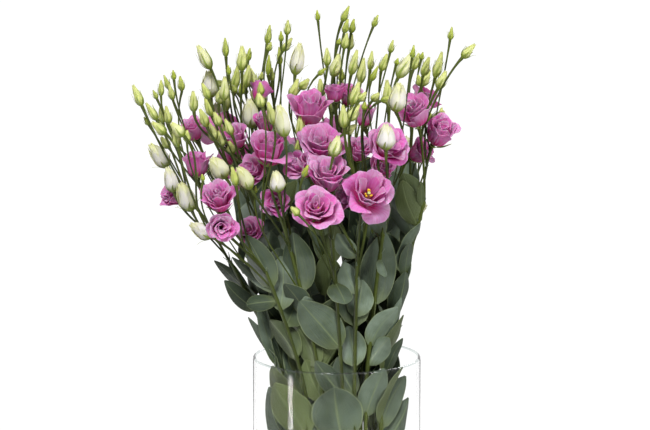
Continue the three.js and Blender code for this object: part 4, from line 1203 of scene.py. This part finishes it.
def flowerPetals(flower, draw):
    # every petal as radius, angle and height over its grid, before scaling: the middle line's radius and
    # height, lower at the petal's sides, wound in a spiral, rolled at its edges, and with waves at the rim
    rings = ringsOf(flower)
    hang = hangingPetals.get(flower["number"] + 1)
    for ring, (count, length, half, *leans) in enumerate(rings):
        wound = half > np.pi
        inner = ring >= petals["outerRings"]
        spiral = petals["woundSpiral"] if wound else petals["spiral"][inner]
        across, along = gridShares(petals["rows"], petals["columns"] * (4 if wound else 1))
        wide = 1 if wound else petals["foot"] + (1 - petals["foot"]) * np.minimum(1, along / 0.5) ** 0.8
        ruffle = petals["ruffle"] * (2 if ring < 2 else 1) * along ** 3
        firstTurn = draw.uniform(0, 2 * np.pi)
        for i in range(count):
            turn = firstTurn + 2 * np.pi * i / count + draw.uniform(-1, 1) * petals["turnDraw"]
            lean = leanOf(leans, flower) + draw.uniform(-1, 1, 3) * petals["leanDraw"][inner]
            early = 0
            if hang and ring == 0:
                apart = max(0, math.cos(turn - math.radians(hang[0]))) ** 6
                lean = lean + np.array([0, 0.3, 1.0]) * hang[1] * apart
                early = hang[2] * apart
            t, radii, heights = petalCurve(lean, length * draw.uniform(0.92, 1.04), early)
            reach = along * (1 - petals["edgeDrop"] * np.abs(across) ** 2.2)
            reach = reach * (1 - petals["tip"] + petals["tip"] * (1 - np.abs(across)) ** 2 * along ** 2)
            lap = petals["lap"] * (len(rings) - ring) * (1 + 0.6 * spiral * across)
            radius = np.interp(reach, t, radii) * (1 + spiral * across) + petals["hole"] + lap
            radius = radius + petals["roll"][inner] * np.abs(across) ** 4 * along ** 2
            phase = draw.uniform(0, 2 * np.pi, 3)
            radius = radius + ruffle * np.sin(2 * np.pi * across * 0.9 + phase[0])
            height = np.interp(reach, t, heights) + ruffle * (
                np.cos(2 * np.pi * across * 0.8 + phase[1])
                + 0.35 * np.cos(2 * np.pi * across * 2.6 + phase[2]))
            crease = draw.uniform(*petals["crease"]) * (0 if wound else 1)
            radius = radius + crease * np.exp(-(across / 0.3) ** 2) * along ** 1.5
            angle = turn + half * across * wide
            yield radius, angle, height, across, along, draw.uniform(0.1, 1)


seeds = {"leaf": 1000, "flower": 2000, "bud": 3000, "petals": 500}


def addFlower(mesh, flower):  # the eighth and the ninth flower share their draws
    draw = np.random.default_rng(seeds["petals"] + flower["number"] - (flower["number"] > 7))
    radiusScale, heightScale = flowerScale(flower)
    seat = flower["base"] + flower["facing"] * petals["seat"]
    for radius, angle, height, across, along, tone in flowerPetals(flower, draw):
        points = roundAxis(seat, flower["facing"], height * heightScale, radius * radiusScale, angle)
        addSheet(mesh, points, across, along, petals["thickness"], tone, petalPart)
    if flower["open"] > petals["stamensFrom"]:
        addStamens(mesh, flower, seat, draw)


stamens = {"count": 6, "height": 0.33, "spread": 2.6, "thread": 0.4, "sides": 5, "headLength": 4.2,
           "head": [0.625, 1.125, 1.25, 1.25, 1.125, 0.625], "headSides": 6,
           "pistil": [2.2, 2.4, 1.6, 0.9, 0.9, 1.8], "pistilHeight": 1.05, "pistilSides": 8}


def addStamens(mesh, flower, seat, draw):
    # slim threads round a stout pistil, each with a fat yellow head
    facing = flower["facing"]
    first, second = axisFrame(facing)
    top = flower["width"] * stamens["height"]
    share = np.linspace(0, 1, len(stamens["head"]))[:, None]
    for i in range(stamens["count"]):
        angle = 2 * np.pi * i / stamens["count"] + draw.uniform(-0.5, 0.5)
        out = first * math.cos(angle) + second * math.sin(angle)
        rise = share * top * draw.uniform(0.86, 1.06)
        thread = seat + facing * rise + out * (stamens["spread"] * share ** 0.6 + 1)
        addTube(mesh, thread, np.full(len(share), stamens["thread"]), stamens["sides"], 0.1, stamenPart)
        head = thread[-1] + (facing * 0.8 + out * 0.3) * (share - 0.5) * stamens["headLength"]
        addTube(mesh, head, stamens["head"], stamens["headSides"], 1, stamenPart)
    pistil = seat + facing * (share * top * stamens["pistilHeight"])
    addTube(mesh, pistil, stamens["pistil"], stamens["pistilSides"], 0.1, stamenPart)


calyx = {"off": 3.5, "clear": 0.13, "sink": 0.8}


def addCalyx(mesh, flower, key):  # sepals laid against the outer petals, with their tips turned out
    draw = np.random.default_rng(key)
    _, radii, heights = petalCurve(leanOf(ringsOf(flower)[0][3:], flower), 1)
    radiusScale, heightScale = flowerScale(flower)
    half = petals["curveSteps"] // 2
    addSepals(mesh, flower["base"], flower["facing"], (radii[:half] + calyx["clear"]) * radiusScale,
              heights[:half] * heightScale - calyx["sink"], draw.uniform(0.8, 1), calyx["off"], draw)


def finishPiece(node, mesh, skins):  # the piece rides on the one body and replaces its solid
    piece = finishMesh("dressed_" + node, mesh, skins)
    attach(piece, "root")
    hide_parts(node)
    return piece


for spray in sprays:
    mesh = newMesh()
    number = spray["number"] + 1
    addStem(mesh, spray, spray["number"])
    for i, leaf in enumerate(spray["leaves"]):
        addLeaf(mesh, leaf, seeds["leaf"] * number + i)
    for i, flower in enumerate(spray["flowers"]):
        key = seeds["flower"] * number + i
        addStalk(mesh, flower["stalk"], key, *stems["flowerEnds"])
        addBracts(mesh, flower["stalk"], key)
        addCalyx(mesh, flower, key)
    for i, bud in enumerate(spray["buds"]):
        key = seeds["bud"] * number + i
        addStalk(mesh, bud["stalk"], key, *stems["budEnds"])
        if i % 2:
            addBracts(mesh, bud["stalk"], key)
        addBud(mesh, bud, key)
    finishPiece(f"spray_{number:02d}", mesh, foliageSkins)
    for flower in spray["flowers"]:
        mesh = newMesh()
        addFlower(mesh, flower)
        finishPiece(f"flower_{flower['number'] + 1:02d}", mesh, petalSkins)
print("made the sprays and flowers")


# Vase and water
def arc(radius, height, size, start, end):  # part of a circle of the profile, in degrees from outwards up
    angle = np.radians(np.linspace(start, end, glass["arcSteps"]))
    return np.column_stack([radius + size * np.cos(angle), height + size * np.sin(angle)])


def latheMesh(*parts):
    # a profile from the axis round the outside and back to the axis, turned about the axis
    profile = np.vstack(parts)
    inner = profile[1:-1]
    angle = np.linspace(0, 2 * np.pi, glass["sides"], endpoint=False)
    rings = np.stack([inner[:, :1] * np.cos(angle), inner[:, :1] * np.sin(angle),
                      np.broadcast_to(inner[:, 1:], (len(inner), len(angle)))], axis=-1)
    mesh = newMesh()
    ends = [[0, 0, profile[0, 1]], [0, 0, profile[-1, 1]]]
    addRound(mesh, rings, ends, np.linspace(0, 1, len(inner)), 0.5, 0)
    return mesh


def vaseMesh():  # up the outside, over a half round rim, and down the inside to the floor
    wall, floor, foot, inside = glass["wall"], glass["floor"], glass["footRound"], glass["innerRound"]
    return latheMesh(
        [[0, 0], [vaseRadius * 0.6, 0]], arc(vaseRadius - foot, foot, foot, -90, 0),
        arc(vaseRadius - wall / 2, vaseHeight - wall / 2, wall / 2, 0, 180),
        arc(vaseRadius - wall - inside, floor + inside, inside, 0, -90),
        [[vaseRadius * 0.5, floor], [0, floor]])


# The water climbs the glass by its meniscus, given as how far in from the wall and how high above the level
water = {"level": 120, "meniscus": [(0, 1.6), (0.6, 0.5), (3, 0)], "clear": 0.35}


def waterMesh():  # up beside the glass to the meniscus, and over the level surface to the axis
    radius, inside = vaseRadius - glass["wall"] - water["clear"], glass["innerRound"]
    low, level = glass["floor"] + water["clear"], water["level"]
    return latheMesh(
        [[0, low], [radius * 0.5, low]], arc(radius - inside, low + inside, inside, -90, 0),
        [[radius - aside, level + rise] for aside, rise in water["meniscus"]],
        [[radius * 0.5, level], [0, level]])


# Thin walls bend light little, so the refraction is kept low and the shine comes from a coat.
# What lies above rimFrom, in metres, shines more, and its tint is darker: painted shade for the dark line
# that the rim shows edge on
glassLook = {"colour": (0.98, 0.99, 0.985), "rimShadeColour": (0.50, 0.57, 0.55), "ior": 1.02, "coat": 0.15,
             "rimCoat": 1.0, "rimFrom": (vaseHeight - 0.6 * glass["wall"]) * millimetre, "waves": 0.0003}
waterLook = {"colour": (0.97, 0.985, 0.98), "rimShadeColour": (0.92, 0.96, 0.95), "ior": 1.05, "coat": 0.1,
             "rimCoat": 0.5, "rimFrom": water["level"] * millimetre, "waves": 0.0002}


def clearSkin(name, look):
    material, tree, shader = newMaterial(name, {
        "Roughness": 0.0, "IOR": look["ior"], "Transmission Weight": 1.0, "Coat Roughness": 0.0,
        "Coat IOR": 1.45})
    place = addNode(tree, "TexCoord", {}).outputs["Object"]
    patch = addNode(tree, "Group", {"Place": place, "Patch size": 9.0}, node_tree=blotches)
    height = addNode(tree, "SeparateXYZ", {0: place}).outputs[2]
    rim = spanNode(tree, height, look["rimFrom"], look["rimFrom"] + millimetre)
    colour = mixColour(tree, patch.outputs["Patches"], look["colour"], (1, 1, 1))
    more = mathNode(tree, "MULTIPLY", rim, look["rimCoat"] - look["coat"])
    # painted shade: the part above the rim's height is tinted darker
    setSocket(tree, shader.inputs["Base Color"], mixColour(tree, rim, colour, look["rimShadeColour"]))
    setSocket(tree, shader.inputs["Coat Weight"], mathNode(tree, "ADD", more, look["coat"]))
    bump(tree, shader, patch.outputs["Patches"], 0.1, look["waves"])
    return material


for piece in (finishPiece("vase", vaseMesh(), [clearSkin("glassSkin", glassLook)]),
              finishPiece("water", waterMesh(), [clearSkin("waterSkin", waterLook)])):
    piece.visible_shadow = False
    piece.visible_diffuse = False
print("made the vase and its water")


# Studio
studio = {"floor": 3.2, "floorColour": (0.45, 0.45, 0.45), "ambient": 0.12, "backdrop": 1.05,
          "middle": (-0.014, 0, 0.42), "clipEnd": 50}


def seenStraight(tree):  # 1 where the camera sees something itself or through clear glass
    path = addNode(tree, "LightPath", {})
    return mathNode(tree, "MAXIMUM", path.outputs["Is Camera Ray"], path.outputs["Is Singular Ray"])


def makeFloor():
    values = {"Roughness": 0.9, "Base Color": studio["floorColour"]}
    material, tree, shader = newMaterial("floorSkin", values)
    shine = addNode(tree, "Emission", {"Strength": studio["backdrop"]})
    either = addNode(tree, "MixShader", {0: seenStraight(tree), 1: shader.outputs[0], 2: shine.outputs[0]})
    tree.links.new(either.outputs[0], tree.nodes["Material Output"].inputs["Surface"])
    data = bpy.data.meshes.new("floor")
    corners = np.array([(-1, -1, 0), (1, -1, 0), (1, 1, 0), (-1, 1, 0)]) * studio["floor"]
    data.from_pydata(corners, [], [range(4)])
    data.materials.append(material)
    addObject("floor", data)


def addLamp(name, place, target, width, height, energy):
    lamp = bpy.data.lights.new(name, "AREA")
    lamp.shape = "RECTANGLE"
    lamp.size, lamp.size_y, lamp.energy = width, height, energy
    holder = addObject(name, lamp)
    holder.location = place
    toward = Vector(target) - Vector(place)
    holder.rotation_euler = toward.to_track_quat("-Z", "Y").to_euler()
    holder.visible_camera = False
    return holder


# Each lamp's place, what it is aimed at, its width and height, and its watts
lamps = {"keyLamp": ((-0.6, -2.25, 2.5), studio["middle"], 0.8, 0.8, 104),
         "fillLamp": ((1.9, -1.9, 1.1), studio["middle"], 1.2, 1.2, 42),
         "backLamp": ((0.6, 2.2, 1.9), studio["middle"], 1.4, 1.4, 40),
         "stripLamp": ((-0.43, -0.26, 0.152), (0, 0, 0.152), 0.055, 0.18, 2.9)}

makeFloor()
for name, mark in lamps.items():
    lamp = addLamp(name, *mark)
    lamp.visible_diffuse = name != "stripLamp"  # that one is only a streak in the glass


def makeWorld():
    world = bpy.data.worlds.new("studioWorld")
    world.use_nodes = True
    tree = world.node_tree
    sky = tree.nodes["Background"].inputs
    more = mathNode(tree, "MULTIPLY", seenStraight(tree), studio["backdrop"] - studio["ambient"])
    setSocket(tree, sky["Color"], (1, 1, 1))
    setSocket(tree, sky["Strength"], mathNode(tree, "ADD", more, studio["ambient"]))
    bpy.context.scene.world = world


makeWorld()
bpy.context.scene.view_settings.view_transform = "Standard"

lens = bpy.data.cameras.new("camera")
lens.sensor_width = view["sensor"]
lens.lens = view["sensor"] * view["distance"] / (view["width"] * view["pixel"])
lens.clip_end = studio["clipEnd"]
camera = addObject("camera", lens)
camera.location = eye * millimetre
camera.rotation_euler = (math.radians(90 - view["tilt"]), 0, 0)
bpy.context.scene.camera = camera
print("set up the studio")
